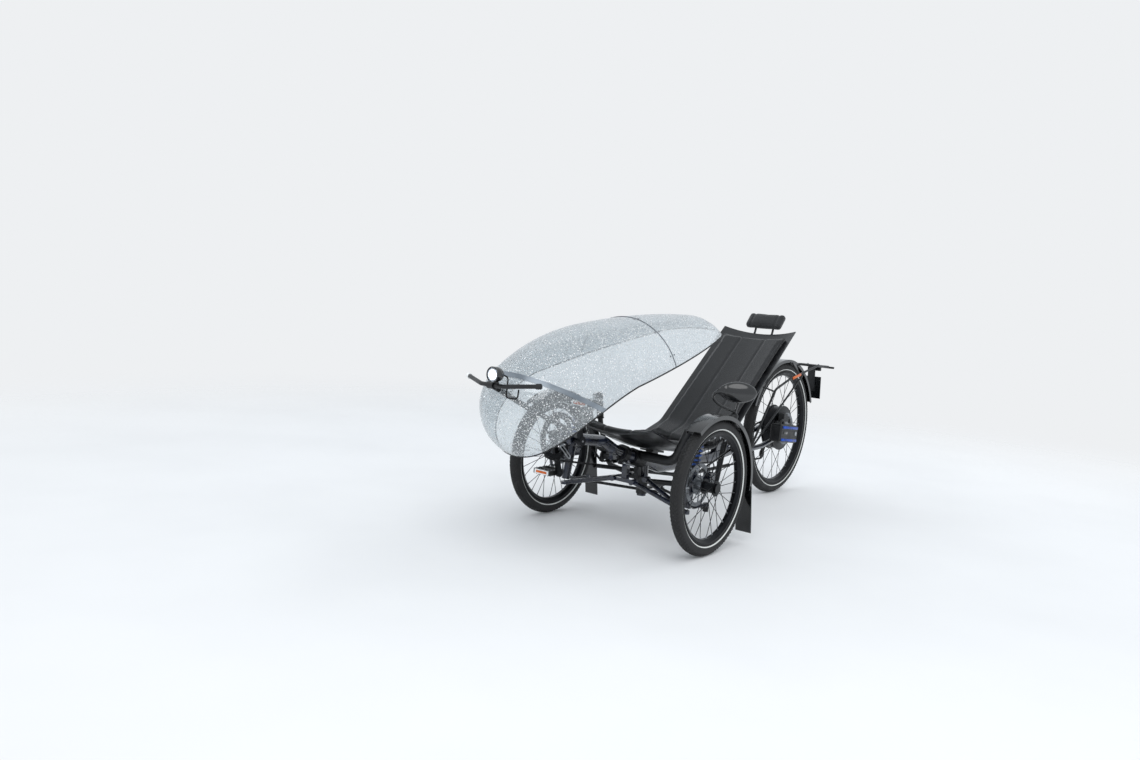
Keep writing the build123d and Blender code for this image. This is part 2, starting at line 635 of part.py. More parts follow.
def seat_stays():
    """Front pedestal, rear struts and the cross bar that carry the seat shell."""
    slope = math.degrees(math.atan2(SEAT_PATH[1][1] - SEAT_PATH[2][1], SEAT_PATH[1][0] - SEAT_PATH[2][0]))
    x, z = below_seat(1, 0.42, SEAT_GAP + 4)
    pad = Pos(x, 0, z) * Rot(0, -slope, 0) * Box(80, 64, 8)
    floor = main_tube_z(x) + MAIN_TUBE_R - 12
    column = Pos(x, 0, (z + floor) / 2) * Box(46, 30, z - floor)
    saddle_hole = rod((15, 0, main_tube_z(15)), (-226, 0, main_tube_z(-226)), MAIN_TUBE_R + SEAT_GAP)
    parts = [pad + column - saddle_hole]
    bar_x, bar_z = below_seat(3, 0.42, SEAT_GAP + 9)
    saddle_x = FOLD_X + 52
    saddle = Pos(saddle_x, 0, FOLD_TUBE_Z + 24) * Box(40, 52, 22)
    tube_run = rod((FOLD_X, 0, FOLD_TUBE_Z), MAIN_JUNCTION, MAIN_TUBE_R + SEAT_GAP)
    parts.append(saddle - tube_run)
    for _, side in SIDES:
        parts.append(rod((saddle_x, side * 18, FOLD_TUBE_Z + 28), (bar_x, side * 62, bar_z), 8))
    parts.append(rod((bar_x, -66, bar_z), (bar_x, 66, bar_z), 9))
    return parts


def headrest():
    """Padded neck rest at the top of the back, with sockets for its two stems."""
    top = SEAT_PATH[-1]
    pad = Pos(top[0] - 34, 0, top[1] + 66) * Rot(0, -42, 0) * Box(42, 190, 92)
    pad = fillet(pad.edges(), 18)
    for _, side in SIDES:
        pad -= headrest_post(side, 5 + SEAT_GAP)
    return pad


def headrest_post(side, radius):
    """One stem from the cross bar up into the neck rest."""
    low = below_seat(3, 0.88, SEAT_GAP + 8)
    high = below_seat(3, 1.03, SEAT_GAP + 8)
    tip = (SEAT_PATH[-1][0] - 34, side * 45, SEAT_PATH[-1][1] + 44)
    return bent_rod([(low[0], side * 45, low[1]), (high[0], side * 45, high[1]), tip], radius, 14)


def headrest_stem():
    """Cross bar behind the shell and the two stems of the neck rest."""
    low = below_seat(3, 0.88, SEAT_GAP + 8)
    parts = [rod((low[0], -60, low[1]), (low[0], 60, low[1]), 8)]
    for _, side in SIDES:
        parts.append(headrest_post(side, 5))
    return parts


def crankset():
    """Axle, two crank arms and the toothed chainring."""
    axle = disc_y((CRANK_X, 0, CRANK_Z), CRANK_AXLE_R, 2 * CRANK_ARM_Y + CRANK_ARM_T)
    parts = [axle]
    for _, side in SIDES:
        y = side * CRANK_ARM_Y
        turn, x, z = crank_end(side)
        place = Pos((CRANK_X + x) / 2, y, (CRANK_Z + z) / 2) * Rot(0, -turn, 0)
        bar = place * Box(CRANK_LENGTH, CRANK_ARM_T, 20)
        boss = disc_y((CRANK_X, y, CRANK_Z), 17, CRANK_ARM_T + 4)
        tip = disc_y((x, y, z), 13, CRANK_ARM_T)
        spindle_end = (x, side * (pedal_y() + PEDAL_W / 2 - 6), z)
        parts += [bar, boss, tip, rod((x, y, z), spindle_end, PEDAL_SPINDLE_R)]
    teeth = chainring((CRANK_X, CHAIN_Y, CRANK_Z), CHAINRING_R, 38, CHAINRING_T, CHAINRING_R - 18)
    spider = Pos(CRANK_X, CHAIN_Y, CRANK_Z) * Rot(90, 0, 0) * Cylinder(26, 14)
    arm_r = CHAINRING_R - 14
    for i in range(5):
        a = math.radians(72 * i + 18)
        tip = (CRANK_X + arm_r * math.cos(a), CHAIN_Y, CRANK_Z + arm_r * math.sin(a))
        parts.append(rod((CRANK_X, CHAIN_Y, CRANK_Z), tip, 5))
    return fuse(teeth, spider, *parts)


def crank_end(side):
    """Turn of one crank arm in degrees, with the place of its pedal spindle in the side view."""
    degrees = CRANK_DEG if side < 0 else CRANK_DEG + 180
    turn = math.radians(degrees)
    return degrees, CRANK_X + CRANK_LENGTH * math.cos(turn), CRANK_Z + CRANK_LENGTH * math.sin(turn)


def pedal_y():
    return CRANK_ARM_Y + CRANK_ARM_T / 2 + PEDAL_GAP + PEDAL_W / 2


def chainring(centre, pitch_r, teeth, thickness, inner_r):
    """Sprocket ring with trapezoid teeth."""
    points = []
    step = 360.0 / teeth
    root_r, tip_r = pitch_r - 3, pitch_r + 2
    for i in range(teeth):
        for offset, radius in ((-0.30, root_r), (-0.12, tip_r), (0.12, tip_r), (0.30, root_r)):
            a = math.radians((i + offset) * step)
            points.append((radius * math.cos(a), radius * math.sin(a)))
    face = make_face(Polyline(*points, close=True)) - Circle(inner_r)
    plane = Plane(origin=centre, x_dir=(1, 0, 0), z_dir=(0, -1, 0))
    return extrude(plane * face, thickness / 2, both=True)


def pedal(side):
    """Flat pedal: an open cage round its spindle sleeve, with reflectors."""
    _, x, z = crank_end(side)
    y = side * pedal_y()
    cage = Box(PEDAL_L, PEDAL_W, PEDAL_T) - Box(PEDAL_L - 16, PEDAL_W - 16, PEDAL_T + 2)
    cage = Pos(x, y, z) * cage
    sleeve = disc_y((x, y, z), 9, PEDAL_W)
    return (cage + sleeve) - disc_y((x, y, z), PEDAL_SPINDLE_R + BEARING_GAP, PEDAL_W + 4)


def chain_runs(ends, width, height):
    """Chain runs as flat bars between pairs of points in the chain's plane."""
    parts = []
    for a, b in ends:
        start, end = Vector(a[0], CHAIN_Y, a[1]), Vector(b[0], CHAIN_Y, b[1])
        along = end - start
        place = Plane(origin=(start + end) / 2, x_dir=along, z_dir=(0, 1, 0))
        parts.append(place * Box(along.length, height, width))
    return parts


def tangent_run(a, ra, b, rb):
    """Ends of the line that touches two circles in the XZ plane; a radius below zero means the lower side."""
    dx, dz = b[0] - a[0], b[1] - a[1]
    t = math.atan2(dz, dx) + math.acos((ra - rb) / math.hypot(dx, dz))
    c, s = math.cos(t), math.sin(t)
    return ((a[0] + ra * c, a[1] + ra * s), (b[0] + rb * c, b[1] + rb * s))


def power_run():
    """Corner points of the driving run: chainring, down under its idler, back over the fold's idler."""
    link_r = CHAINRING_R + 2 + SEAT_GAP + CHAIN_H / 2
    idler_r = IDLER_R + SEAT_GAP + CHAIN_H / 2
    rear, _ = tangent_run((FOLD_X, FOLD_Z), idler_r, POWER_CORNER, 0)
    _, front = tangent_run(POWER_CORNER, 0, (CRANK_X, CRANK_Z), link_r)
    return rear, POWER_CORNER, front


def power_idler_centre():
    """Centre of the idler that the driving run bends under."""
    rear, corner, front = power_run()
    to_rear = Vector(rear[0] - corner[0], rear[1] - corner[1]).normalized()
    to_front = Vector(front[0] - corner[0], front[1] - corner[1]).normalized()
    half = math.radians(to_rear.get_angle(to_front)) / 2
    bend = POWER_IDLER_R + SEAT_GAP + CHAIN_H / 2
    centre = (to_rear + to_front).normalized() * (bend / math.sin(half))
    return (corner[0] + centre.X, corner[1] + centre.Y)


def chain_front():
    """Chain between the chainring and the fold's idler, in its guide tubes."""
    link_r = CHAINRING_R + 2 + SEAT_GAP + CHAIN_H / 2
    idler_r = IDLER_R + SEAT_GAP + CHAIN_H / 2
    rear, corner, front = power_run()
    path = FilletPolyline(*[Vector(x, CHAIN_Y, z) for x, z in (rear, corner, front)],
                          radius=POWER_IDLER_R + SEAT_GAP + CHAIN_H / 2)
    section = Plane(origin=path @ 0, x_dir=(0, 1, 0), z_dir=path % 0) * Rectangle(CHAIN_W, CHAIN_H)
    parts = [sweep(section, path=path)]
    lower = tangent_run((FOLD_X, FOLD_Z), -idler_r, (CRANK_X, CRANK_Z), -link_r)
    parts += chain_runs([lower], CHAIN_W, CHAIN_H)
    for (a, b), shares in (((rear, corner), (0.08, 0.86)), (lower, (0.08, 0.72))):
        ends = [(a[0] + (b[0] - a[0]) * share, CHAIN_Y, a[1] + (b[1] - a[1]) * share) for share in shares]
        parts.append(rod(ends[0], ends[1], CHAIN_GUIDE_R))
    ahead = (CRANK_X + link_r * math.cos(0.4), CRANK_Z + link_r * math.sin(0.4))
    wrap = ThreePointArc(*[Vector(x, CHAIN_Y, z) for x, z in (front, ahead, lower[1])])
    ring_section = Plane(origin=wrap @ 0, x_dir=(0, 1, 0), z_dir=wrap % 0) * Rectangle(CHAIN_W, CHAIN_H)
    return fuse(*parts, sweep(ring_section, path=wrap))


def power_idler():
    """Idler below the boom that turns the driving run back under the seat."""
    x, z = power_idler_centre()
    wheel = disc_y((x, CHAIN_Y, z), POWER_IDLER_R, CHAIN_W - 2)
    boss = rod((x, -9 - SEAT_GAP, z), (x, CHAIN_Y, z), 9)
    return wheel + boss - rod((x, 0, z), (x, CHAIN_Y - CHAIN_W, z), FOLD_PIN_R + BEARING_GAP)


def idler():
    """Chain idler beside the fold hinge, on the end of its pin."""
    y_in = -1.5 * FOLD_LUG_T - FOLD_FACE_GAP - SEAT_GAP
    wheel = disc_y((FOLD_X, CHAIN_Y, FOLD_Z), IDLER_R, CHAIN_W - 2)
    boss = rod((FOLD_X, y_in, FOLD_Z), (FOLD_X, CHAIN_Y, FOLD_Z), 12)
    bore = rod((FOLD_X, y_in + 2, FOLD_Z), (FOLD_X, CHAIN_Y - CHAIN_W, FOLD_Z), FOLD_PIN_R + BEARING_GAP)
    return wheel + boss - bore


def fairing_axis_point(s, h):
    """Place of a point s along the fairing's axis from the nose and h above it."""
    t = math.radians(FAIRING_TILT_DEG)
    x = FAIRING_NOSE[0] - s * math.cos(t) + h * math.sin(t)
    z = FAIRING_NOSE[1] + s * math.sin(t) + h * math.cos(t)
    return (x, z)


def big_arc(length, radius, tip_r):
    """Radius of the arc that is level at the apex and tangent to a round tip."""
    reach = length - tip_r
    return (reach * reach + radius * radius - tip_r * tip_r) / (2 * (radius - tip_r))


def fairing_profile(inset):
    """Closed half outline of the fairing on its axis: nose, back and tail arcs."""
    radius = FAIRING_R - inset
    nose_r, tail_r = FAIRING_NOSE_R - inset, FAIRING_TAIL_R - inset
    front = FAIRING_APEX - inset
    rear = FAIRING_LENGTH - FAIRING_APEX - inset
    points = []
    for sign, length, tip in ((-1, front, nose_r), (1, rear, tail_r)):
        big = big_arc(length, radius, tip)
        reach = length - tip
        turn = math.atan2(reach, big - radius)
        centre_s = FAIRING_APEX + sign * reach
        join = (centre_s + sign * tip * math.sin(turn), tip * math.cos(turn))
        half = (FAIRING_APEX + sign * big * math.sin(turn / 2), radius - big + big * math.cos(turn / 2))
        mid_turn = (turn + math.pi / 2) / 2
        tip_mid = (centre_s + sign * tip * math.sin(mid_turn), tip * math.cos(mid_turn))
        tip_end = (centre_s + sign * tip, 0)
        points.append((join, half, tip_mid, tip_end))
    nose, tail = points
    apex = (FAIRING_APEX, radius)
    edges = [ThreePointArc(nose[3], nose[2], nose[0]), ThreePointArc(nose[0], nose[1], apex),
             ThreePointArc(apex, tail[1], tail[0]), ThreePointArc(tail[0], tail[2], tail[3]),
             Line(tail[3], nose[3])]
    return make_face(edges)


def fairing_body(inset):
    """Solid of revolution of the fairing's outline, placed on its axis."""
    t = math.radians(FAIRING_TILT_DEG)
    nose = (FAIRING_NOSE[0], 0, FAIRING_NOSE[1])
    plane = Plane(origin=nose, x_dir=(-math.cos(t), 0, math.sin(t)), z_dir=(0, -1, 0))
    face = plane * fairing_profile(inset)
    return revolve(face, Axis(plane.origin, plane.x_dir), 360)


def above_rim():
    """Block above the fairing's lower edge, seen from the side."""
    width = 2 * FAIRING_R + 320
    side = Plane(origin=(0, width / 2, 0), x_dir=(1, 0, 0), z_dir=(0, -1, 0))
    ahead, top = FAIRING_NOSE[0] + 150, FAIRING_NOSE[1] + 3 * FAIRING_R
    tail = (RIM_TAIL[0] - 60, RIM_TAIL[1] + 15)
    low = (ahead, RIM_FRONT[1] - 60)
    edges = [Line(tail, RIM_BEND), ThreePointArc(RIM_BEND, RIM_MID, RIM_FRONT), Line(RIM_FRONT, low),
             Line(low, (ahead, top)), Line((ahead, top), (tail[0], top)), Line((tail[0], top), tail)]
    return extrude(side * make_face(edges), width)


def half_space(point, tilt_deg):
    """Large block on the upper side of a tilted plane through a point."""
    block = Box(FAIRING_REACH, FAIRING_REACH, FAIRING_REACH, align=(Align.CENTER, Align.CENTER, Align.MIN))
    return Pos(point[0], 0, point[1]) * Rot(0, -tilt_deg, 0) * block


def fairing_parts():
    """Nose, top and tail sheets of the fairing and the band over the nose joint."""
    shell = (fairing_body(0) - fairing_body(FAIRING_WALL)) & above_rim()
    stem_hole = rod(STEM_KNEE, LAMP_BAR_MID, STEM_R + STEM_HOLE_GAP)
    shell -= stem_hole
    over_band = half_space((BAND_X, BAND_Z), BAND_TILT_DEG)
    over_band_top = half_space((BAND_X, BAND_Z + SEAT_GAP), BAND_TILT_DEG)
    seam = fairing_axis_point(REAR_SEAM_S, 0)
    behind = Pos(seam[0], 0, seam[1]) * Rot(0, FAIRING_TILT_DEG, 0)
    larger_than_half = (1400, 1200, 1600)
    behind_seam = behind * Box(*larger_than_half, align=(Align.MAX, Align.CENTER, Align.CENTER))
    before_seam = Box(*larger_than_half, align=(Align.MIN, Align.CENTER, Align.CENTER))
    before_seam = Pos(SEAT_GAP, 0, 0) * behind * before_seam
    nose = shell - over_band
    upper = shell & over_band_top
    band_zone = half_space((BAND_X, BAND_Z - BAND_W), BAND_TILT_DEG)
    band_zone -= half_space((BAND_X, BAND_Z + BAND_W), BAND_TILT_DEG)
    band = ((fairing_body(-BAND_T - SEAT_GAP) - fairing_body(-SEAT_GAP)) & above_rim()) & band_zone
    return {"fairing_nose": nose, "fairing_top": upper & before_seam, "fairing_tail": upper & behind_seam,
            "fairing_band": band}


def lamp_stem():
    """Stem from its hinge on the boom through the fairing's nose, and the bow-shaped lamp bar."""
    foot = (STEM_PIVOT[0], 0, STEM_PIVOT[2])
    stem = rod(foot, STEM_KNEE, STEM_R) + rod(STEM_KNEE, LAMP_BAR_MID, STEM_R)
    stem += Pos(*STEM_KNEE) * Sphere(STEM_R + 1)
    left = LAMP_BAR_TIP
    right = (left[0], -left[1], left[2])
    mid_x, _, mid_z = LAMP_BAR_MID
    bar = bent_rod([left, (mid_x, 46, mid_z), (mid_x, -46, mid_z), right], LAMP_BAR_R, 30)
    clamp = disc_y((LAMP_BAR_MID[0], 0, LAMP_BAR_MID[2]), LAMP_BAR_R + 5, 26)
    post_x, post_top = LAMP_AT[0] - 6, LAMP_AT[2] - LAMP_R * 0.97 - SEAT_GAP
    post = rod((post_x, LAMP_AT[1], LAMP_BAR_MID[2]), (post_x, LAMP_AT[1], post_top), 6)
    eye = disc_y(STEM_PIVOT, 11, 16)
    solid = fuse(stem, eye, bar, clamp, post)
    return solid - disc_y(STEM_PIVOT, STEM_PIN_R + BEARING_GAP, 40)


def stem_bracket():
    """Ears on the crank housing with the pin that the stem turns on."""
    x, _, z = STEM_PIVOT
    parts = []
    for side in (1, -1):
        y = side * 12
        parts.append(disc_y((x, y, z), 10, 6))
        parts.append(Pos((x + CRANK_X) / 2, y, (z + CRANK_Z) / 2) * Box(18, 6, z - CRANK_Z))
    parts.append(disc_y(STEM_PIVOT, STEM_PIN_R, 30))
    return parts


def lamp_cable():
    """Lamp lead: out of the lamp's back, down in a loop and up to the lamp bar's left arm."""
    return bent_rod(CABLE_ROUTE, CABLE_R, CABLE_BEND)


def headlamp():
    """Round headlamp: a stepped housing with a lens rim, facing forward."""
    x, y, z = LAMP_AT
    half = LAMP_L / 2
    points = [(0, -half), (LAMP_R * 0.62, -half), (LAMP_R * 0.9, -LAMP_L * 0.2), (LAMP_R, LAMP_L * 0.1),
              (LAMP_R, half), (LAMP_R - 2.5, half), (LAMP_R - 2.5, half - 3), (0, half - 3)]
    section = make_face(Polyline(*points, close=True))
    flat = Plane(origin=(x, y, z), x_dir=(0, 0, 1), z_dir=(0, 1, 0)) * section
    return revolve(flat, Axis((x, y, z), (1, 0, 0)))


def rear_beam():
    """Rear half of the frame: hinge lug, rising beam, shock mount and the swing arm's pivot."""
    start = (FOLD_X - (FOLD_FACE_GAP + FLANGE_T) / 2, 0, FOLD_TUBE_Z)
    knee = (FOLD_X - 140, 0, FOLD_Z + 40)
    beam = bent_rod([start, knee, (SWING_PIVOT[0] + 8, 0, SWING_PIVOT[2])], MAIN_TUBE_R, 150)
    pivot = disc_y(SWING_PIVOT, 20, 2 * SWING_HALF_W - 26)
    bolt = disc_y(SWING_PIVOT, PIVOT_BOLT_R, 2 * (RACK_Y + 5))
    shock_mount = Pos(SHOCK_FRONT[0] + 23, 0, SHOCK_FRONT[2] - 18) * Box(40, 26, 68)
    return fuse(flange(-1), beam, pivot, bolt, shock_mount, hinge_lugs((0,), -1)) - fold_pin_bore()


def swing_arm():
    """Two-sided swing arm that holds the rear axle."""
    parts = []
    px, _, pz = SWING_PIVOT
    for _, side in SIDES:
        eye = disc_y((px, side * (SWING_HALF_W - 6), pz), 20, 12)
        points = [(px, side * (SWING_HALF_W + 1), pz), (px - 140, side * (SWING_HALF_W + 3), pz + 6),
                  (REAR_X + 12, side * (SWING_HALF_W + 14), REAR_R)]
        arm = bent_rod(points, SWING_TUBE_R, 120)
        dropout = Pos(REAR_X, side * (SWING_HALF_W + 14), REAR_R) * Box(60, 8, 44)
        parts += [eye, arm, fillet(dropout.edges().filter_by(Axis.Y), 12)]
    bridge = rod((px - 62, -58, pz + 3), (px - 62, 58, pz + 3), 10)
    horn = rod((px - 62, 0, pz + 3), HORN_TOP, 9) + Pos(*HORN_TOP) * Sphere(HORN_BALL_R)
    axle = disc_y((REAR_X, 0, REAR_R), REAR_AXLE_R, 2 * SWING_HALF_W + 34)
    bracket_y = BATTERY_AT[1] - BATTERY_W / 2 - SEAT_GAP - 7
    bracket = Pos(BATTERY_AT[0], bracket_y, BATTERY_AT[2] - 24) * Box(60, 14, 28)
    return fuse(bridge, horn, axle, bracket, *parts) - disc_y(SWING_PIVOT, PIVOT_BOLT_R + SEAT_GAP, 400)


def shock():
    """Rear spring and damper between the beam and the swing arm's horn."""
    front, ball = Vector(*SHOCK_FRONT), Vector(*HORN_TOP)
    along = (ball - front).normalized()
    rear = ball - along * (HORN_BALL_R + 2 * SEAT_GAP)
    length = (rear - front).length
    parts = [rod(front, rear, SHOCK_R)]
    for i in range(SHOCK_COILS):
        a = front + along * (22 + i * (length - 44) / SHOCK_COILS)
        b = a + along * 7
        parts.append(rod((a.X, 0, a.Z), (b.X, 0, b.Z), SHOCK_SPRING_R))
    return fuse(*parts)


def rack():
    """Tubular carrier over the rear wheel with its long stays down to the swing arm's pivot."""
    parts = []
    rear_x, rear_y, rear_z = RACK_REAR
    foot = (SWING_PIVOT[0], SWING_PIVOT[2])
    for _, side in SIDES:
        y = side * RACK_Y
        side_view = (foot, RACK_SHOULDER, RACK_OVER_AXLE, RACK_CREST, (rear_x + 8, rear_z))
        rail = bent_rod([(x, y, z) for x, z in side_view], RACK_TUBE_R, RACK_BEND)
        stay = rod((foot[0] - 9, y, foot[1] + 3), (RACK_STAY_TOP[0], y, RACK_STAY_TOP[1]), RACK_TUBE_R - 1)
        parts += [rail, stay, disc_y((foot[0], y, foot[1]), 15, 8)]
        for x, z, fx, fz in ((-30, 608, -30, 664), (228, 530, 266, 548)):
            parts.append(rod((REAR_X + x, y, z), (REAR_X + fx, side * (FENDER_W / 2 + 3.5), fz), 4))
    crest_x, crest_z = RACK_CREST
    parts.append(rod((crest_x, -RACK_Y, crest_z), (crest_x, RACK_Y, crest_z), RACK_TUBE_R - 1))
    parts.append(rod((rear_x, -rear_y, rear_z), (rear_x, rear_y, rear_z), RACK_TUBE_R))
    deck_z = rear_z + RACK_TUBE_R - DECK_BITE + DECK_T / 2
    parts.append(Pos(rear_x + 20, 0, deck_z) * Box(DECK_L, 2 * RACK_Y, DECK_T))
    return fuse(*parts, plate_holder()) - disc_y(SWING_PIVOT, PIVOT_BOLT_R + SEAT_GAP, 400)


def plate_place():
    """Place and lean of the plate below the carrier's deck."""
    return Pos(RACK_REAR[0] + 18, 0, RACK_REAR[2] - 54 - PLATE_H / 2) * Rot(0, 6, 0)


def plate():
    """Blank plate that hangs below the carrier's rear bar."""
    return plate_place() * Box(PLATE_T, PLATE_W, PLATE_H)


def plate_holder():
    """Flat arm from the carrier's deck down the front of the plate."""
    return plate_place() * Pos(PLATE_T / 2 + SEAT_GAP + 2, 0, 50) * Box(4, 40, 140)


def tail_lamp():
    """Flat red lamp below the carrier's rear bar."""
    top = RACK_REAR[2] - RACK_TUBE_R - SEAT_GAP
    return Pos(RACK_REAR[0] - 3, 0, top - 9) * Box(16, 70, 18)


def battery():
    """Battery case on the left of the swing arm, with its carrying handle."""
    x, y, z = BATTERY_AT
    case = fillet((Pos(*BATTERY_AT) * Rot(0, -6, 0) * Box(BATTERY_L, BATTERY_W, BATTERY_H)).edges(), 10)
    side_view = ((x + 45, z + 36), (x + 45, z + 62), (x - 50, z + 72), (x - 50, z + 46))
    handle = bent_rod([(px, y, pz) for px, pz in side_view], 5, 14)
    return case + handle


def rear_fender():
    """Mudguard over the rear wheel."""
    return fender((REAR_X, 0, REAR_R), REAR_R + FENDER_GAP - 2, FENDER_W, 22, 160)


def cassette():
    """Stack of toothed cogs on the hub's drive side."""
    inner = -HUB_MOTOR_W / 2 - HUB_BOSS - SEAT_GAP
    last = len(COG_SIZES) - 1
    core = rod((REAR_X, inner, REAR_R), (REAR_X, inner - last * COG_PITCH - COG_T, REAR_R), 16)
    cogs = []
    for i, radius in enumerate(COG_SIZES):
        y = inner - COG_T / 2 - i * COG_PITCH
        teeth = max(11, int(radius / 2.02))
        cogs.append(chainring((REAR_X, y, REAR_R), radius, teeth, COG_T, REAR_AXLE_R + 4))
    return fuse(core, *cogs) - disc_y((REAR_X, 0, REAR_R), REAR_AXLE_R + 4, 160)


def rear_wheel():
    """Rim and spokes of the rear wheel, laced to the hub shell's flanges."""
    centre = (REAR_X, 0, REAR_R)
    flange_y = HUB_MOTOR_W / 2 - 6
    wires = spokes(centre, REAR_SPOKES, HUB_MOTOR_R + 0.8, REAR_BEAD_R - RIM_DEPTH + 1, flange_y, 14)
    return rim(centre, REAR_BEAD_R, REAR_TYRE_W) + wires


def hub_motor():
    """Drum of the hub with two spoke flanges and shallow side covers."""
    half = HUB_MOTOR_W / 2
    bore = REAR_AXLE_R + BEARING_GAP
    rim_in = HUB_MOTOR_R - 8
    right = [(half - 10, HUB_MOTOR_R - 6), (half - 8, HUB_MOTOR_R), (half - 4, HUB_MOTOR_R),
             (half - 4, rim_in), (half, rim_in - 26), (half + HUB_BOSS, 30), (half + HUB_BOSS, bore)]
    left = [(-y, r) for y, r in reversed(right)]
    return spin_y(make_face(Polyline(*left, *right, close=True)), (REAR_X, 0, REAR_R))


def rear_disc():
    """Rear brake disc on the left of the hub."""
    centre = (REAR_X, REAR_DISC_Y, REAR_R)
    inner = HUB_MOTOR_W / 2 + HUB_BOSS + SEAT_GAP
    sleeve = ring_y((REAR_X, (inner + REAR_DISC_Y) / 2, REAR_R), 22, REAR_AXLE_R + 4, REAR_DISC_Y - inner)
    return brake_disc(centre, REAR_AXLE_R + 4) + sleeve


def rear_caliper():
    """Brake caliper that stands on the left arm of the swing arm."""
    body = Pos(REAR_X + 58, REAR_DISC_Y + 8, REAR_R + 60) * Box(38, 30, 40)
    body -= Pos(REAR_X + 49, REAR_DISC_Y, REAR_R + 52) * Box(48, DISC_T + 4, 44)
    low, high = REAR_R + 2, REAR_R + 44
    bracket = Pos(REAR_X + 66, SWING_HALF_W + 6, (low + high) / 2) * Box(16, 8, high - low)
    return body + bracket


def chain_rear():
    """Chain behind the fold: its two runs, in guide tubes, to the rear cogs."""
    link = CHAIN_H / 2 + SEAT_GAP
    cog = COG_SIZES[CHAIN_COG] + 2 + link
    upper = tangent_run((REAR_X, REAR_R), cog, (FOLD_X, FOLD_Z), IDLER_R + link)[::-1]
    lower = tangent_run(DERAILLEUR_LOW, -(JOCKEY_R + link), (FOLD_X, FOLD_Z), -(IDLER_R + link))[::-1]
    parts = []
    for a, b in (upper, lower):
        share = CHAIN_FOLD_GAP / math.hypot(b[0] - a[0], b[1] - a[1])
        start = (a[0] + (b[0] - a[0]) * share, a[1] + (b[1] - a[1]) * share)
        middle = ((start[0] + b[0]) / 2, CHAIN_Y, (start[1] + b[1]) / 2)
        parts += chain_runs([(start, b)], CHAIN_W, CHAIN_H)
        parts.append(rod((start[0], CHAIN_Y, start[1]), middle, CHAIN_GUIDE_R))
    return parts


def derailleur():
    """Rear gear mechanism: hanger, cage plates and two jockey wheels."""
    y = CHAIN_Y
    top = (DERAILLEUR_TOP[0], y, DERAILLEUR_TOP[1])
    low = (DERAILLEUR_LOW[0], y, DERAILLEUR_LOW[1])
    parts = [disc_y(top, JOCKEY_R, 5), disc_y(low, JOCKEY_R, 5)]
    for offset in (4.5, -4.5):
        parts.append(rod_plate(top, low, offset))
    parts += [disc_y(top, 4, 14), disc_y(low, 4, 14)]
    outer = -(SWING_HALF_W + 14 - 4 - SEAT_GAP)
    hanger = bent_rod([(top[0], y - 5, top[2]), (top[0], -66, top[2]), (REAR_X - 6, -66, REAR_R - 15),
                       (REAR_X - 6, outer, REAR_R - 15)], 4.5, 5)
    return fuse(*parts, hanger)


def rod_plate(a, b, offset):
    start, end = Vector(a[0], a[1] + offset, a[2]), Vector(b[0], b[1] + offset, b[2])
    along = end - start
    place = Plane(origin=(start + end) / 2, x_dir=along, z_dir=(0, 1, 0))
    return place * Box(along.length + 24, 20, 2)


PIECES = {
    "main_frame": main_frame,
    "fold_pin": fold_pin,
    "chain_idler": idler,
    "front_boom": front_boom,
    "power_idler": power_idler,
    "boom_clamp": boom_clamp,
    "cross_boom": cross_boom,
    "seat_shell": seat_shell,
    "seat_stays": lambda: fuse(*seat_stays()),
    "seat_cushion": lambda: cushion(along_seat(0, 0.15), SEAT_PATH[1], along_seat(1, 0.82), SEAT_BENDS[0]),
    "back_cushion": lambda: cushion(along_seat(2, 0.3), SEAT_PATH[3], along_seat(3, 0.93), SEAT_BENDS[2]),
    "headrest": headrest,
    "headrest_stem": lambda: fuse(*headrest_stem()),
    "lamp_stem": lamp_stem,
    "headlamp": headlamp,
    "lamp_cable": lamp_cable,
    "chain_front": chain_front,
    "chain_rear": lambda: fuse(*chain_rear()),
    "handlebar": handlebar,
    "mirror": mirror,
    "crankset": crankset,
    "rear_beam": rear_beam,
    "swing_arm": swing_arm,
    "rear_shock": shock,
    "rack": rack,
    "plate": plate,
    "tail_lamp": tail_lamp,
    "battery": battery,
    "rear_fender": rear_fender,
    "rear_caliper": rear_caliper,
    "derailleur": derailleur,
    "tyre_rear": lambda: tyre((REAR_X, 0, REAR_R), REAR_BEAD_R, REAR_TYRE_W),
    "rear_wheel": rear_wheel,
    "hub_motor": hub_motor,
    "cassette": cassette,
    "rear_disc": rear_disc,
}

SIDE_PIECES = {
    "wishbone": wishbone,
    "knuckle": knuckle,
    "strut": strut,
    "fender": front_fender,
    "tyre": lambda side: tyre((0, side * WHEEL_Y, FRONT_R), FRONT_BEAD_R, FRONT_TYRE_W),
    "wheel": front_wheel,
    "disc": front_disc,
    "grip": grip,
    "tie_rod": tie_rod,
    "pedal": pedal,
}


def main():
    os.makedirs("parts", exist_ok=True)
    for name, make in PIECES.items():
        write(name, make())
    for name, make in SIDE_PIECES.items():
        for label, side in SIDES:
            write(f"{name}_{label}", make(side))
    for name, solid in fairing_parts().items():
        write(name, solid)


main()
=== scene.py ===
"""Looks of a folding electric tricycle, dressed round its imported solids.

The frame of the part is +X forward, +Y to the rider's left and +Z up, in metres. Solids whose form is right
keep their mesh and get a finish. Tyres, pads, grips, struts, chain, lamp and trim get pieces of their own.
"""

import logging
import math
from collections.abc import Iterable, Sequence
from dataclasses import dataclass, field
from enum import Enum
from typing import ClassVar

import bmesh
import bpy
import numpy as np
from mathutils import Matrix, Vector
from mathutils.geometry import interpolate_bezier


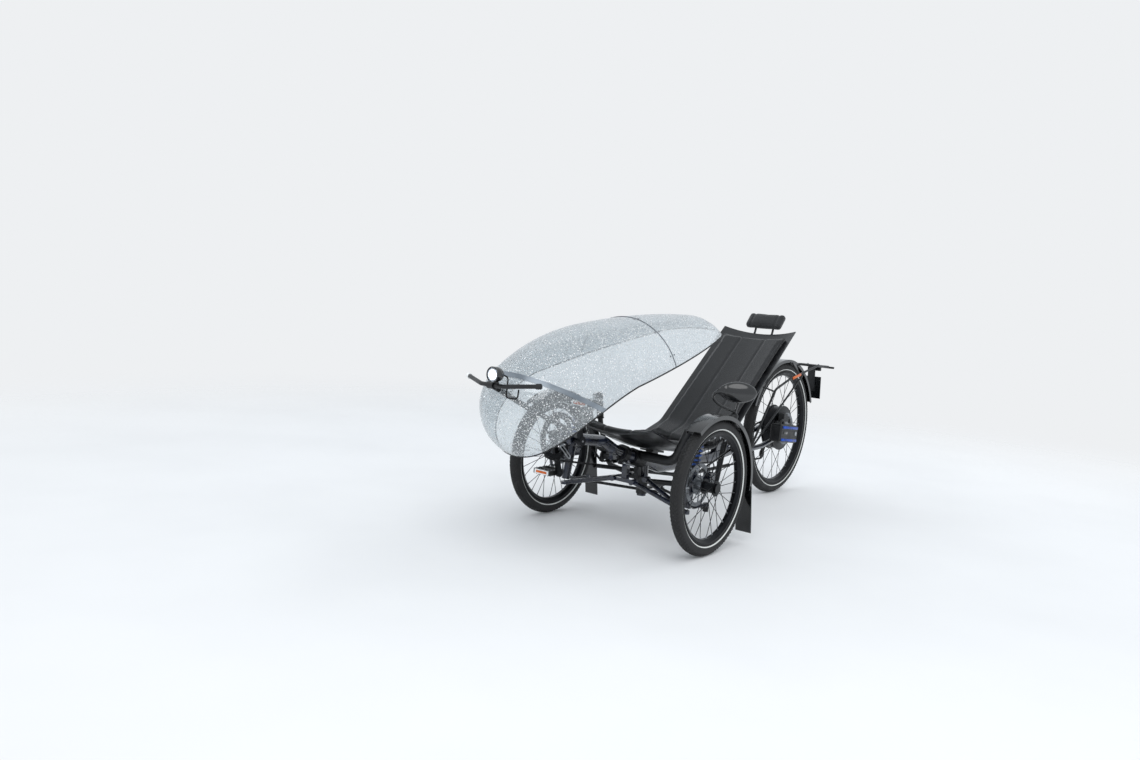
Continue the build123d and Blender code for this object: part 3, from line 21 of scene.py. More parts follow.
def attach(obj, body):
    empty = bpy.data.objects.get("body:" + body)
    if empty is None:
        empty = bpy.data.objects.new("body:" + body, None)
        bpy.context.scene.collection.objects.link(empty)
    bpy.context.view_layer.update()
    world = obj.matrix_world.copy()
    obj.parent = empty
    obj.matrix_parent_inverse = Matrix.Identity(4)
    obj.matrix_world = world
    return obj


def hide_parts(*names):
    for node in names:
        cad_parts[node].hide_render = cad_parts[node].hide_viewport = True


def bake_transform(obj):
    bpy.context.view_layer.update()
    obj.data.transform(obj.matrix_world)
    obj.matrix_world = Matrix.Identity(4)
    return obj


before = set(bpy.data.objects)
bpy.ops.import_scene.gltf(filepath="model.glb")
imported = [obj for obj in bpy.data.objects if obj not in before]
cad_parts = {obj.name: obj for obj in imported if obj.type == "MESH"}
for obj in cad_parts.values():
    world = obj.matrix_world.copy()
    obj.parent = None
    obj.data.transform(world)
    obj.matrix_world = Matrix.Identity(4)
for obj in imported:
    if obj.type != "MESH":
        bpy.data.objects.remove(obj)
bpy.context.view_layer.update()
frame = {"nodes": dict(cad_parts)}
LOG = logging.getLogger("tricycle")

Point = tuple[float, float, float]
Spot = tuple[float, float]
Tree, Node, Socket = bpy.types.NodeTree, bpy.types.Node, bpy.types.NodeSocket
Mesh, Object = bpy.types.Mesh, bpy.types.Object

SHIFT = 0.4525                  # front axle's place on X in the part's frame
WHEEL_Y = 0.377
FRONT_R = 0.250
REAR_R = 0.3315
REAR_X = SHIFT - 1.300
KINGPIN_Y = 0.290
KINGPIN_FOOT = 0.045            # where the kingpin's line meets the ground, ahead of the front axle
KINGPIN_SLOPE = math.tan(math.radians(12.0))
STRUT_SPAN = (0.2923, 0.4247)   # heights of a front strut's two ends
CRANK = (380.0, 400.0)          # crank axle: along and up from the front axle's foot, in millimetres
REAR_AXLE = (-1300.0, 331.5)    # the same of the rear axle
CORE = 0.0001                   # radius that turned solids keep free at their axis
FORE, LEFT, UP = Vector((1, 0, 0)), Vector((0, 1, 0)), Vector((0, 0, 1))


def at(x: float, y: float, z: float) -> Vector:
    """Point given in millimetres from the front axle, as metres in the part's frame."""
    return Vector((x / 1000 + SHIFT, y / 1000, z / 1000))


def linear(code: str) -> tuple[float, float, float, float]:
    """Turn an sRGB hex colour into the linear colour that a shader takes.

    Args:
        code: Six hex digits, such as "1A2B3C".

    Returns:
        Linear red, green and blue, and an alpha of one.
    """
    parts = [int(code[i:i + 2], 16) / 255 for i in (0, 2, 4)]
    return tuple(c / 12.92 if c <= 0.04045 else ((c + 0.055) / 1.055) ** 2.4 for c in parts) + (1.0,)


def add_node(tree: Tree, kind: str, values: dict | None = None, links: dict | None = None,
             **settings: object) -> Node:
    """Add one node with its settings, socket values and links.

    Args:
        tree: Tree that the node goes into.
        kind: Blender's name of the node type.
        values: Input socket to its fixed value.
        links: Input socket to the output socket that feeds it.
        **settings: Properties of the node itself.

    Returns:
        The new node.
    """
    node = tree.nodes.new(kind)
    for name, value in settings.items():
        setattr(node, name, value)
    for key, value in (values or {}).items():
        node.inputs[key].default_value = value
    for key, socket in (links or {}).items():
        tree.links.new(socket, node.inputs[key])
    return node


def maths(tree: Tree, operation: str, first: Socket, second: Socket | float = 0.0) -> Socket:
    """Result of one sum on a socket and a number or another socket."""
    values, links = ({1: second}, {}) if isinstance(second, float) else ({}, {1: second})
    return add_node(tree, "ShaderNodeMath", values, {0: first} | links, operation=operation).outputs[0]


def remap(tree: Tree, source: Socket, between: Spot = (0.0, 1.0), to: Spot = (0.0, 1.0),
          **settings: str) -> Socket:
    """Value of a socket, moved from one range to another and held inside it."""
    values = dict(enumerate((*between, *to), start=1))
    return add_node(tree, "ShaderNodeMapRange", values, {0: source}, **settings).outputs[0]


def noise(tree: Tree, place: Socket, scale: float, detail: float) -> Socket:
    """Noise of a scale, from zero to one."""
    values = {"Scale": scale, "Detail": detail}
    return add_node(tree, "ShaderNodeTexNoise", values, {"Vector": place}).outputs[0]


def link(name: str, data: bpy.types.ID) -> Object:
    """Put a new object with this data into the scene."""
    item = bpy.data.objects.new(name, data)
    bpy.context.scene.collection.objects.link(item)
    return item


def new_mesh(name: str, points: Iterable[Vector], edges: Sequence = (), faces: Sequence = ()) -> Mesh:
    """Mesh of these points, edges and faces."""
    mesh = bpy.data.meshes.new(name)
    mesh.from_pydata([tuple(p) for p in points], edges, faces)
    return mesh


def applied(item: Object) -> Mesh:
    """Mesh that an object's modifiers make, which are cleared."""
    mesh = bpy.data.meshes.new_from_object(item.evaluated_get(bpy.context.evaluated_depsgraph_get()))
    item.modifiers.clear()
    return mesh


def full_turn(count: int) -> list[float]:
    """Angles of a full turn in equal steps."""
    return [2 * math.pi * i / count for i in range(count)]


def outward(turn: float) -> Vector:
    """Direction away from a wheel's axle at an angle."""
    return Vector((math.cos(turn), 0, math.sin(turn)))


def path_length(path: Sequence[Vector]) -> float:
    """Length of a path."""
    return sum((b - a).length for a, b in zip(path, path[1:]))


class Side(Enum):
    """Side of the tricycle, with the sign of its Y."""

    LEFT = 1
    RIGHT = -1

    @property
    def label(self) -> str:
        """Lower-case name, as the solids have it."""
        return self.name.lower()

    def place(self, left: Point) -> Vector:
        """Point of this side, from the millimetres of the point that the left side has."""
        return at(left[0], self.value * left[1], left[2])


# Finishes

@dataclass(frozen=True)
class Finish:
    """A surface whose colour, gloss and relief vary a little, at the scale of its making.

    Attributes:
        name: Common name of the material and how it was made.
        colour: Main colour, sRGB hex.
        shade: Colour of the variation, sRGB hex.
        roughness: Roughness where the surface is cleanest.
        spread: How much rougher it gets where it varies.
        metallic: One on bare metal.
        ior: Index of refraction of what isn't metal.
        grain_mm: Size of the variation's grain.
        relief_mm: Height of the grain.
        coat: Weight of a clear coat.
        coat_roughness: Roughness of that coat.
        made: Materials that are made already, by name.
    """

    name: str
    colour: str
    shade: str
    roughness: float = 0.4
    spread: float = 0.1
    metallic: float = 0.0
    ior: float = 1.5
    grain_mm: float = 4.0
    relief_mm: float = 0.02
    coat: float = 0.0
    coat_roughness: float = 0.05

    made: ClassVar[dict[str, bpy.types.Material]] = {}

    def material(self) -> bpy.types.Material:
        """Make the material once and give it back each time."""
        if self.name not in self.made:
            self.made[self.name] = self.build()
        return self.made[self.name]

    def build(self) -> bpy.types.Material:
        """Build the node tree: a shader fed by pattern, gloss and relief."""
        material = bpy.data.materials.new(self.name)
        material.use_nodes = True
        tree = material.node_tree
        tree.nodes.clear()
        shader = add_node(tree, "ShaderNodeBsdfPrincipled", {
            "Metallic": self.metallic, "Coat Weight": self.coat, "Coat Roughness": self.coat_roughness})
        add_node(tree, "ShaderNodeOutputMaterial", links={"Surface": shader.outputs["BSDF"]})
        if not self.metallic:
            shader.inputs["IOR"].default_value = self.ior
        place = add_node(tree, "ShaderNodeTexCoord").outputs["Object"]
        mask, height = self.pattern(tree, place)
        blend = add_node(tree, "ShaderNodeMix", {6: linear(self.colour), 7: linear(self.shade)}, {0: mask},
                         data_type="RGBA")
        bump = add_node(tree, "ShaderNodeBump", {"Strength": 1.0, "Distance": self.relief_mm / 1000},
                        {"Height": height})
        for socket, source in (
                ("Base Color", blend.outputs[2]), ("Normal", bump.outputs[0]),
                ("Roughness", remap(tree, mask, to=(self.roughness, self.roughness + self.spread)))):
            tree.links.new(source, shader.inputs[socket])
        self.dress(tree, shader, place, mask)
        return material

    def pattern(self, tree: Tree, place: Socket) -> tuple[Socket, Socket]:
        """Grain of the surface.

        Args:
            tree: Tree of the material.
            place: Object coordinates.

        Returns:
            Socket of the colour mask and socket of the height, both from zero to one.
        """
        patches, grain = 60.0 / self.grain_mm, 1000.0 / self.grain_mm
        mask = remap(tree, noise(tree, place, patches, 3.0), (0.38, 0.68))
        return mask, noise(tree, place, grain, 2.0)

    def dress(self, tree: Tree, shader: Node, place: Socket, mask: Socket) -> None:
        """Add what only this finish has. A plain finish adds nothing."""


@dataclass(frozen=True)
class TyreRubber(Finish):
    """Moulded rubber with a light reflective stripe round each wall.

    Attributes:
        centre: Middle of the wheel, in metres.
        stripe_r: Radius of the stripe's middle.
        stripe_w: Width of the stripe.
    """

    centre: Point = (0.0, 0.0, 0.0)
    stripe_r: float = 0.2144
    stripe_w: float = 0.004

    def dress(self, tree: Tree, shader: Node, place: Socket, mask: Socket) -> None:
        """Paint the stripe by its distance from the axle, so it turns with the wheel."""
        centred = add_node(tree, "ShaderNodeMapping",
                           {"Location": (-self.centre[0], 0.0, -self.centre[2]), "Scale": (1, 0, 1)},
                           {"Vector": place})
        radius = add_node(tree, "ShaderNodeVectorMath", links={0: centred.outputs[0]}, operation="LENGTH")
        off = maths(tree, "ABSOLUTE", maths(tree, "SUBTRACT", radius.outputs["Value"], self.stripe_r))
        inside = maths(tree, "LESS_THAN", off, self.stripe_w / 2)
        rubber = shader.inputs["Base Color"].links[0].from_socket
        painted = add_node(tree, "ShaderNodeMix", {7: linear("D9DBD8")}, {0: inside, 6: rubber},
                           data_type="RGBA")
        tree.links.new(painted.outputs[2], shader.inputs["Base Color"])


@dataclass(frozen=True)
class BrushedMetal(Finish):
    """Metal with fine lines of grinding or drawing along one axis.

    Attributes:
        along: Stretch of the lines on each axis; a small number makes long lines.
    """

    along: Point = (0.05, 1.0, 1.0)

    def pattern(self, tree: Tree, place: Socket) -> tuple[Socket, Socket]:
        """Noise drawn out along the brushing."""
        drawn = add_node(tree, "ShaderNodeMapping", {"Scale": self.along}, {"Vector": place}).outputs[0]
        lines = noise(tree, drawn, 1000.0 / self.grain_mm, 3.0)
        return remap(tree, lines, (0.35, 0.7)), lines


@dataclass(frozen=True)
class ClearSheet(Finish):
    """Thermoformed clear sheet, dulled by many small beads of water, painted white as a painted highlight.

    Attributes:
        bead_mm: Spacing of the large beads.
        small: Spacing of the small beads, as a share of that.
        bare: Share of the cells that have no bead.
        haze: Share of light that the beads and the film scatter.
        under_bead: Share of light that a bead lets through, before the haze.
    """

    bead_mm: float = 7.0
    small: float = 0.55
    bare: float = 0.45
    haze: float = 0.25
    under_bead: float = 0.45

    def pattern(self, tree: Tree, place: Socket) -> tuple[Socket, Socket]:
        """Round beads of two sizes, left out in nearly half of the cells, with real relief and a painted
        white highlight.
        """
        bead_and_glint_masks = []
        for spacing, edge in ((self.bead_mm, 0.34), (self.bead_mm * self.small, 0.30)):
            cells = add_node(tree, "ShaderNodeTexVoronoi", {"Scale": 1000.0 / spacing, "Randomness": 1.0},
                             {"Vector": place}, feature="F1")
            bead_and_glint = remap(tree, cells.outputs["Distance"], (edge, edge * 0.7))
            pick = add_node(tree, "ShaderNodeSeparateColor", links={0: cells.outputs["Color"]})
            kept = maths(tree, "GREATER_THAN", pick.outputs[0], self.bare)
            bead_and_glint_masks.append(maths(tree, "MULTIPLY", bead_and_glint, kept))
        # beads: the beads' real relief, and the mask of their painted white highlight
        beads = maths(tree, "MAXIMUM", *bead_and_glint_masks)
        return beads, beads

    def dress(self, tree: Tree, shader: Node, place: Socket, mask: Socket) -> None:
        """Let light through, less where a bead sits, so that its painted white highlight shows."""
        through = remap(tree, mask, to=(1.0 - self.haze, self.under_bead - self.haze))
        tree.links.new(through, shader.inputs["Transmission Weight"])


@dataclass(frozen=True)
class WovenMesh(Finish):
    """Open-weave seat cloth of round threads.

    Attributes:
        thread_mm: Spacing of the threads, about twice that of real cloth, so that it shows.
    """

    thread_mm: float = 3.0

    def pattern(self, tree: Tree, place: Socket) -> tuple[Socket, Socket]:
        """Two crossing wave patterns: one along X and one along Y."""
        scale = 1000.0 / self.thread_mm / math.pi
        waves = []
        for direction in ("X", "Y"):
            wave = add_node(tree, "ShaderNodeTexWave", {"Scale": scale, "Distortion": 0.4, "Detail": 1.0},
                            {"Vector": place}, bands_direction=direction)
            waves.append(wave.outputs["Fac"])
        weave = maths(tree, "MULTIPLY", *waves)
        return weave, weave

    def dress(self, tree: Tree, shader: Node, place: Socket, mask: Socket) -> None:
        """Cloth has a weak sheen at grazing angles."""
        shader.inputs["Sheen Weight"].default_value = 0.25
        shader.inputs["Sheen Roughness"].default_value = 0.5


@dataclass(frozen=True)
class Lens(Finish):
    """Moulded clear or tinted lens.

    Attributes:
        through: Share of light that passes.
        glow: Strength of a lit lamp behind it.
    """

    through: float = 0.6
    glow: float = 0.0

    def dress(self, tree: Tree, shader: Node, place: Socket, mask: Socket) -> None:
        """Pass light, and glow where a lamp is lit."""
        shader.inputs["Transmission Weight"].default_value = self.through
        shader.inputs["Emission Color"].default_value = linear(self.colour)
        shader.inputs["Emission Strength"].default_value = self.glow


@dataclass(frozen=True)
class FadingFloor(Finish):
    """Floor paint that fades into the backdrop a few metres out.

    Attributes:
        near: Distance from the middle where it starts to fade.
        far: Distance where it is gone.
    """

    near: float = 1.6
    far: float = 6.0

    def dress(self, tree: Tree, shader: Node, place: Socket, mask: Socket) -> None:
        """Thin the paint out by its distance from the middle."""
        away = add_node(tree, "ShaderNodeVectorMath", links={0: place}, operation="LENGTH").outputs["Value"]
        alpha = remap(tree, away, (self.near, self.far), (1.0, 0.0), interpolation_type="SMOOTHSTEP")
        tree.links.new(alpha, shader.inputs["Alpha"])


# Wet-look gloss enamel over metal: near black, blue where the light grazes it.
FRAME_PAINT = Finish("gloss enamel on aluminium tube", "0B0F1A", "101A30", roughness=0.22, metallic=0.35,
                     grain_mm=3.0, relief_mm=0.01, coat=1.0, coat_roughness=0.04)
# Powder coat: fine orange peel, half matt.
SATIN_BLACK = Finish("satin powder coat on steel", "0C0D0F", "15171A", roughness=0.38, spread=0.12,
                     grain_mm=1.6, relief_mm=0.03)
# Anodised rims, hubs and cranks: black with a metal's soft shine.
ANODISED_BLACK = Finish("black anodised aluminium", "111215", "1B1D21", roughness=0.3, spread=0.12,
                        metallic=0.7, grain_mm=2.0, relief_mm=0.01)
MACHINED = BrushedMetal("turned aluminium", "B9BCC0", "8E9296", roughness=0.28, spread=0.14, metallic=1.0,
                        grain_mm=0.8, relief_mm=0.01, along=(1.0, 0.1, 1.0))
DRAWN_STEEL = BrushedMetal("drawn stainless steel", "A7A9AC", "7F8286", roughness=0.25, spread=0.15,
                           metallic=1.0, grain_mm=0.8, relief_mm=0.01)
GROUND_STEEL = BrushedMetal("ground brake steel", "8C8F93", "5E6165", roughness=0.3, spread=0.15,
                            metallic=1.0, grain_mm=0.9)
CHAIN_STEEL = Finish("oiled chain steel", "3B3C3E", "1E1D1C", roughness=0.35, spread=0.2, metallic=0.9,
                     grain_mm=1.2)
GRIP_RUBBER = Finish("moulded grip rubber", "0E0E0F", "19191A", roughness=0.75, spread=0.12, ior=1.52,
                     grain_mm=0.9, relief_mm=0.06)
MOULDED_NYLON = Finish("glass-filled nylon, moulded", "101113", "1A1B1D", roughness=0.5, spread=0.15,
                       ior=1.53, grain_mm=0.7, relief_mm=0.04)
GLOSS_ABS = Finish("moulded gloss ABS", "08090A", "101214", roughness=0.12, ior=1.54, grain_mm=6.0,
                   relief_mm=0.005, coat=0.6, coat_roughness=0.03)
SHELL_RESIN = Finish("fibre-filled seat resin", "0D0E10", "191B1E", roughness=0.3, spread=0.15, grain_mm=2.2,
                     coat=0.4, coat_roughness=0.1)
BLUE_SPRING = Finish("blue powder coat on spring steel", "0B4A9E", "08316C", roughness=0.3, spread=0.12,
                     metallic=0.1, grain_mm=1.6, coat=0.5, coat_roughness=0.08)
# Clear sheet: the pure white shade at the water beads is a painted highlight.
FAIRING_SHEET = ClearSheet("thermoformed clear polycarbonate", "E6ECEF", "FFFFFF", roughness=0.03,
                           spread=0.25, ior=1.58, grain_mm=5.0, relief_mm=0.06, bead_mm=8.0, haze=0.13)
SEAM_STRIP = Finish("silver-grey aluminium joint strip", "7C848C", "99A1A9", roughness=0.32, spread=0.15,
                    metallic=0.6, grain_mm=5.0)
GREY_SEAL = Finish("grey joint sealant", "5B6066", "6E747A", roughness=0.5, ior=1.45, grain_mm=3.0,
                   relief_mm=0.01)
EDGE_TRIM = Finish("black rubber edge trim", "0A0A0B", "141415", roughness=0.55, ior=1.52, grain_mm=1.2,
                   relief_mm=0.03)
SEAT_MESH = WovenMesh("woven polyester seat mesh", "1B1D20", "08090A", roughness=0.7, spread=0.2,
                      grain_mm=3.0, relief_mm=0.5)
MIRROR_GLASS = Finish("silvered mirror glass", "E6EAEC", "DDE2E5", roughness=0.02, spread=0.01, metallic=1.0,
                      grain_mm=9.0, relief_mm=0.0)
LAMP_LENS = Lens("clear acrylic lamp lens", "F6FAFF", "FFFFFF", roughness=0.03, spread=0.02, ior=1.49,
                 grain_mm=2.0, through=0.9)
LAMP_LED = Lens("lit lamp diode", "F4F8FF", "FFFFFF", roughness=0.3, spread=0.05, ior=1.49, grain_mm=2.0,
                relief_mm=0.0, through=0.0, glow=3.0)
RED_LENS = Lens("red acrylic lens", "8E0A08", "B81512", roughness=0.12, ior=1.49, grain_mm=2.0, relief_mm=0.1,
                through=0.3)
AMBER_LENS = Lens("amber reflector", "D8570A", "F07A1E", roughness=0.15, ior=1.49, grain_mm=1.5,
                  relief_mm=0.2, through=0.2)
WHITE_CAP = Finish("white reflector", "E9ECEC", "FFFFFF", roughness=0.2, ior=1.49, grain_mm=1.5,
                   relief_mm=0.05)
BLUE_TRIM = Finish("blue anodised trim", "12398C", "1D55C4", roughness=0.25, spread=0.12, metallic=0.6,
                   grain_mm=2.0, relief_mm=0.01)


def tyre_rubber(name: str, centre: Point, stripe_r: float) -> TyreRubber:
    """Rubber of one wheel, with its stripe."""
    return TyreRubber(f"moulded tyre rubber, {name}", "131314", "1C1C1D", roughness=0.62, spread=0.15,
                      ior=1.52, grain_mm=2.5, relief_mm=0.05, centre=centre, stripe_r=stripe_r)


# Mesh making

SQUARE = ((-1, -1), (1, -1), (1, 1), (-1, 1))


@dataclass
class Shape:
    """Form that is gathered before it becomes one piece.

    Attributes:
        points: Points of the form, in the part's frame.
        faces: Rows of point numbers, one row for each face.
    """

    points: list[Vector] = field(default_factory=list)
    faces: list[tuple[int, ...]] = field(default_factory=list)

    def rings(self, loops: Sequence[Sequence[Vector]], capped: bool = True, joined: bool = False) -> "Shape":
        """Skin a row of equal loops of points.

        Args:
            loops: Closed loops with the same number of points.
            capped: Whether the first and last loop get a face.
            joined: Whether the last loop meets the first.

        Returns:
            This shape.
        """
        start, size = len(self.points), len(loops[0])
        for loop in loops:
            self.points.extend(loop)
        for i in range(len(loops) if joined else len(loops) - 1):
            a, b = start + i * size, start + (i + 1) % len(loops) * size
            for j in range(size):
                k = (j + 1) % size
                self.faces.append((a + j, a + k, b + k, b + j))
        if capped and not joined:
            self.faces.append(tuple(range(start + size - 1, start - 1, -1)))
            last = start + (len(loops) - 1) * size
            self.faces.append(tuple(range(last, last + size)))
        return self

    def tube(self, path: Sequence[Vector], radius: float, sides: int = 14, joined: bool = False,
             flat: float = 1.0) -> "Shape":
        """Sweep a round or flattened section along a path.

        Args:
            path: Points of the path.
            radius: Half width of the section.
            sides: Corners of the section.
            joined: Whether the path is closed.
            flat: Height of the section as a share of its width.

        Returns:
            This shape.
        """
        loops = []
        up = LEFT
        count = len(path)
        for i, point in enumerate(path):
            before = path[i - 1] if i or joined else point
            after = path[(i + 1) % count] if i < count - 1 or joined else point
            along = (after - before).normalized()
            side = along.cross(up)
            side = side.normalized() if side.length > 1e-4 else along.orthogonal().normalized()
            up = side.cross(along).normalized()
            loops.append([point + side * (radius * flat * math.cos(a)) + up * (radius * math.sin(a))
                          for a in full_turn(sides)])
        return self.rings(loops, joined=joined)

    def lathe(self, section: Sequence[Spot], origin: Vector, axis: Vector, steps: int = 48) -> "Shape":
        """Turn a closed section about an axis.

        Args:
            section: Closed loop of (distance along the axis, radius), in metres.
            origin: Point where the distance is zero.
            axis: Direction of the axis.
            steps: Number of steps round.

        Returns:
            This shape.
        """
        axis = axis.normalized()
        side = axis.orthogonal().normalized()
        loops = []
        for turn in full_turn(steps):
            out = Matrix.Rotation(turn, 3, axis) @ side
            loops.append([origin + axis * a + out * r for a, r in section])
        return self.rings(loops, joined=True)

    def lathe_solid(self, outline: Sequence[Spot], origin: Vector, axis: Vector, steps: int) -> "Shape":
        """Turn an open outline about an axis, closed along the axis from end to end."""
        return self.lathe([(outline[0][0], CORE), *outline, (outline[-1][0], CORE)], origin, axis, steps)

    def block(self, centre: Vector, size: Point, turn: Matrix = Matrix.Identity(3)) -> "Shape":
        """Add a block of a size, turned about its centre."""
        return self.rings([[centre + turn @ Vector((a * size[0] / 2, b * size[1] / 2, c * size[2] / 2))
                            for a, b in SQUARE] for c in (-1, 1)])

    def piece(self, name: str, finish: Finish, body: str, slot: str, *replaced: str, bevel_mm: float = 0.0,
              angle: float = 40.0) -> Object:
        """Make the shape a finished piece that rides on a body.

        Args:
            name: Name of the piece.
            finish: Its surface.
            body: Body that it rides on.
            slot: Name of a material slot; not used.
            *replaced: Solids that it takes the place of.
            bevel_mm: Width of the rounded edges.
            angle: Edges sharper than this stay sharp.

        Returns:
            The new object.
        """
        mesh = new_mesh(name, self.points, faces=self.faces)
        edit = bmesh.new()
        edit.from_mesh(mesh)
        bmesh.ops.remove_doubles(edit, verts=edit.verts, dist=1e-6)
        bmesh.ops.dissolve_degenerate(edit, edges=edit.edges, dist=1e-6)
        bmesh.ops.recalc_face_normals(edit, faces=edit.faces)
        if bevel_mm:
            sharp = [e for e in edit.edges
                     if len(e.link_faces) == 2 and e.calc_face_angle() > math.radians(angle)]
            bmesh.ops.bevel(edit, geom=sharp, offset=bevel_mm / 1000, segments=2, profile=0.5, affect="EDGES")
        edit.to_mesh(mesh)
        edit.free()
        return adopt(mesh, name, finish, body, slot, *replaced, angle=angle)


def adopt(mesh: Mesh, name: str, finish: Finish, body: str, slot: str, *replaced: str,
          angle: float = 40.0) -> Object:
    """Give a mesh its object, finish and body.

    Args:
        mesh: Mesh in the part's frame.
        name: Name of the piece.
        finish: Its surface.
        body: Body that it rides on.
        slot: Name of a material slot; not used.
        *replaced: Solids that it takes the place of.
        angle: Edges sharper than this stay sharp.

    Returns:
        The new object.
    """
    mesh.materials.clear()
    mesh.materials.append(finish.material())
    mesh.shade_smooth()
    mesh.set_sharp_from_angle(angle=math.radians(angle))
    piece = link(name, mesh)
    if body:
        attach(piece, body)
    if replaced:
        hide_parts(*replaced)
    LOG.info("%s: %d faces on %s", name, len(mesh.polygons), body)
    return piece


def rounded(points: Sequence[Vector], bends: Sequence[float], step: float = 0.006) -> list[Vector]:
    """Round the corners of a route with arcs.

    Args:
        points: Corners of the route.
        bends: Radius at each inner corner.
        step: Distance between points on an arc.

    Returns:
        Points of the rounded route.
    """
    route = [points[0]]
    for before, corner, after, bend in zip(points, points[1:], points[2:], bends):
        back, on = (before - corner).normalized(), (after - corner).normalized()
        half = back.angle(on) / 2
        reach = bend / math.tan(half)
        centre = corner + (back + on).normalized() * (bend / math.sin(half))
        first, last = corner + back * reach - centre, corner + on * reach - centre
        swing = first.angle(last)
        count = max(2, int(swing * bend / step))
        for i in range(count + 1):
            share = i / count
            spoke = first * math.sin((1 - share) * swing) + last * math.sin(share * swing)
            route.append(centre + spoke / math.sin(swing))
    route.append(points[-1])
    return route


def turned(centre: Spot, radius: float, first: float, last: float, count: int = 14) -> list:
    """Points in millimetres on an arc in the XZ plane, between two angles in degrees."""
    angles = [math.radians(first + (last - first) * i / count) for i in range(count + 1)]
    return [(centre[0] + radius * math.cos(a), centre[1] + radius * math.sin(a)) for a in angles]


def tangent(a: Spot, ra: float, b: Spot, rb: float) -> tuple[Spot, Spot]:
    """Ends of the line that touches two circles; a radius below zero means the lower side."""
    dx, dz = b[0] - a[0], b[1] - a[1]
    t = math.atan2(dz, dx) + math.acos((ra - rb) / math.hypot(dx, dz))
    return tuple((c[0] + r * math.cos(t), c[1] + r * math.sin(t)) for c, r in ((a, ra), (b, rb)))


# Repeats

class Spread(Enum):
    """Way in which copies are laid out."""

    POINTS = "copies on points, each turned to the point's axis"
    PATH = "copies along a path, every second one with its own width"


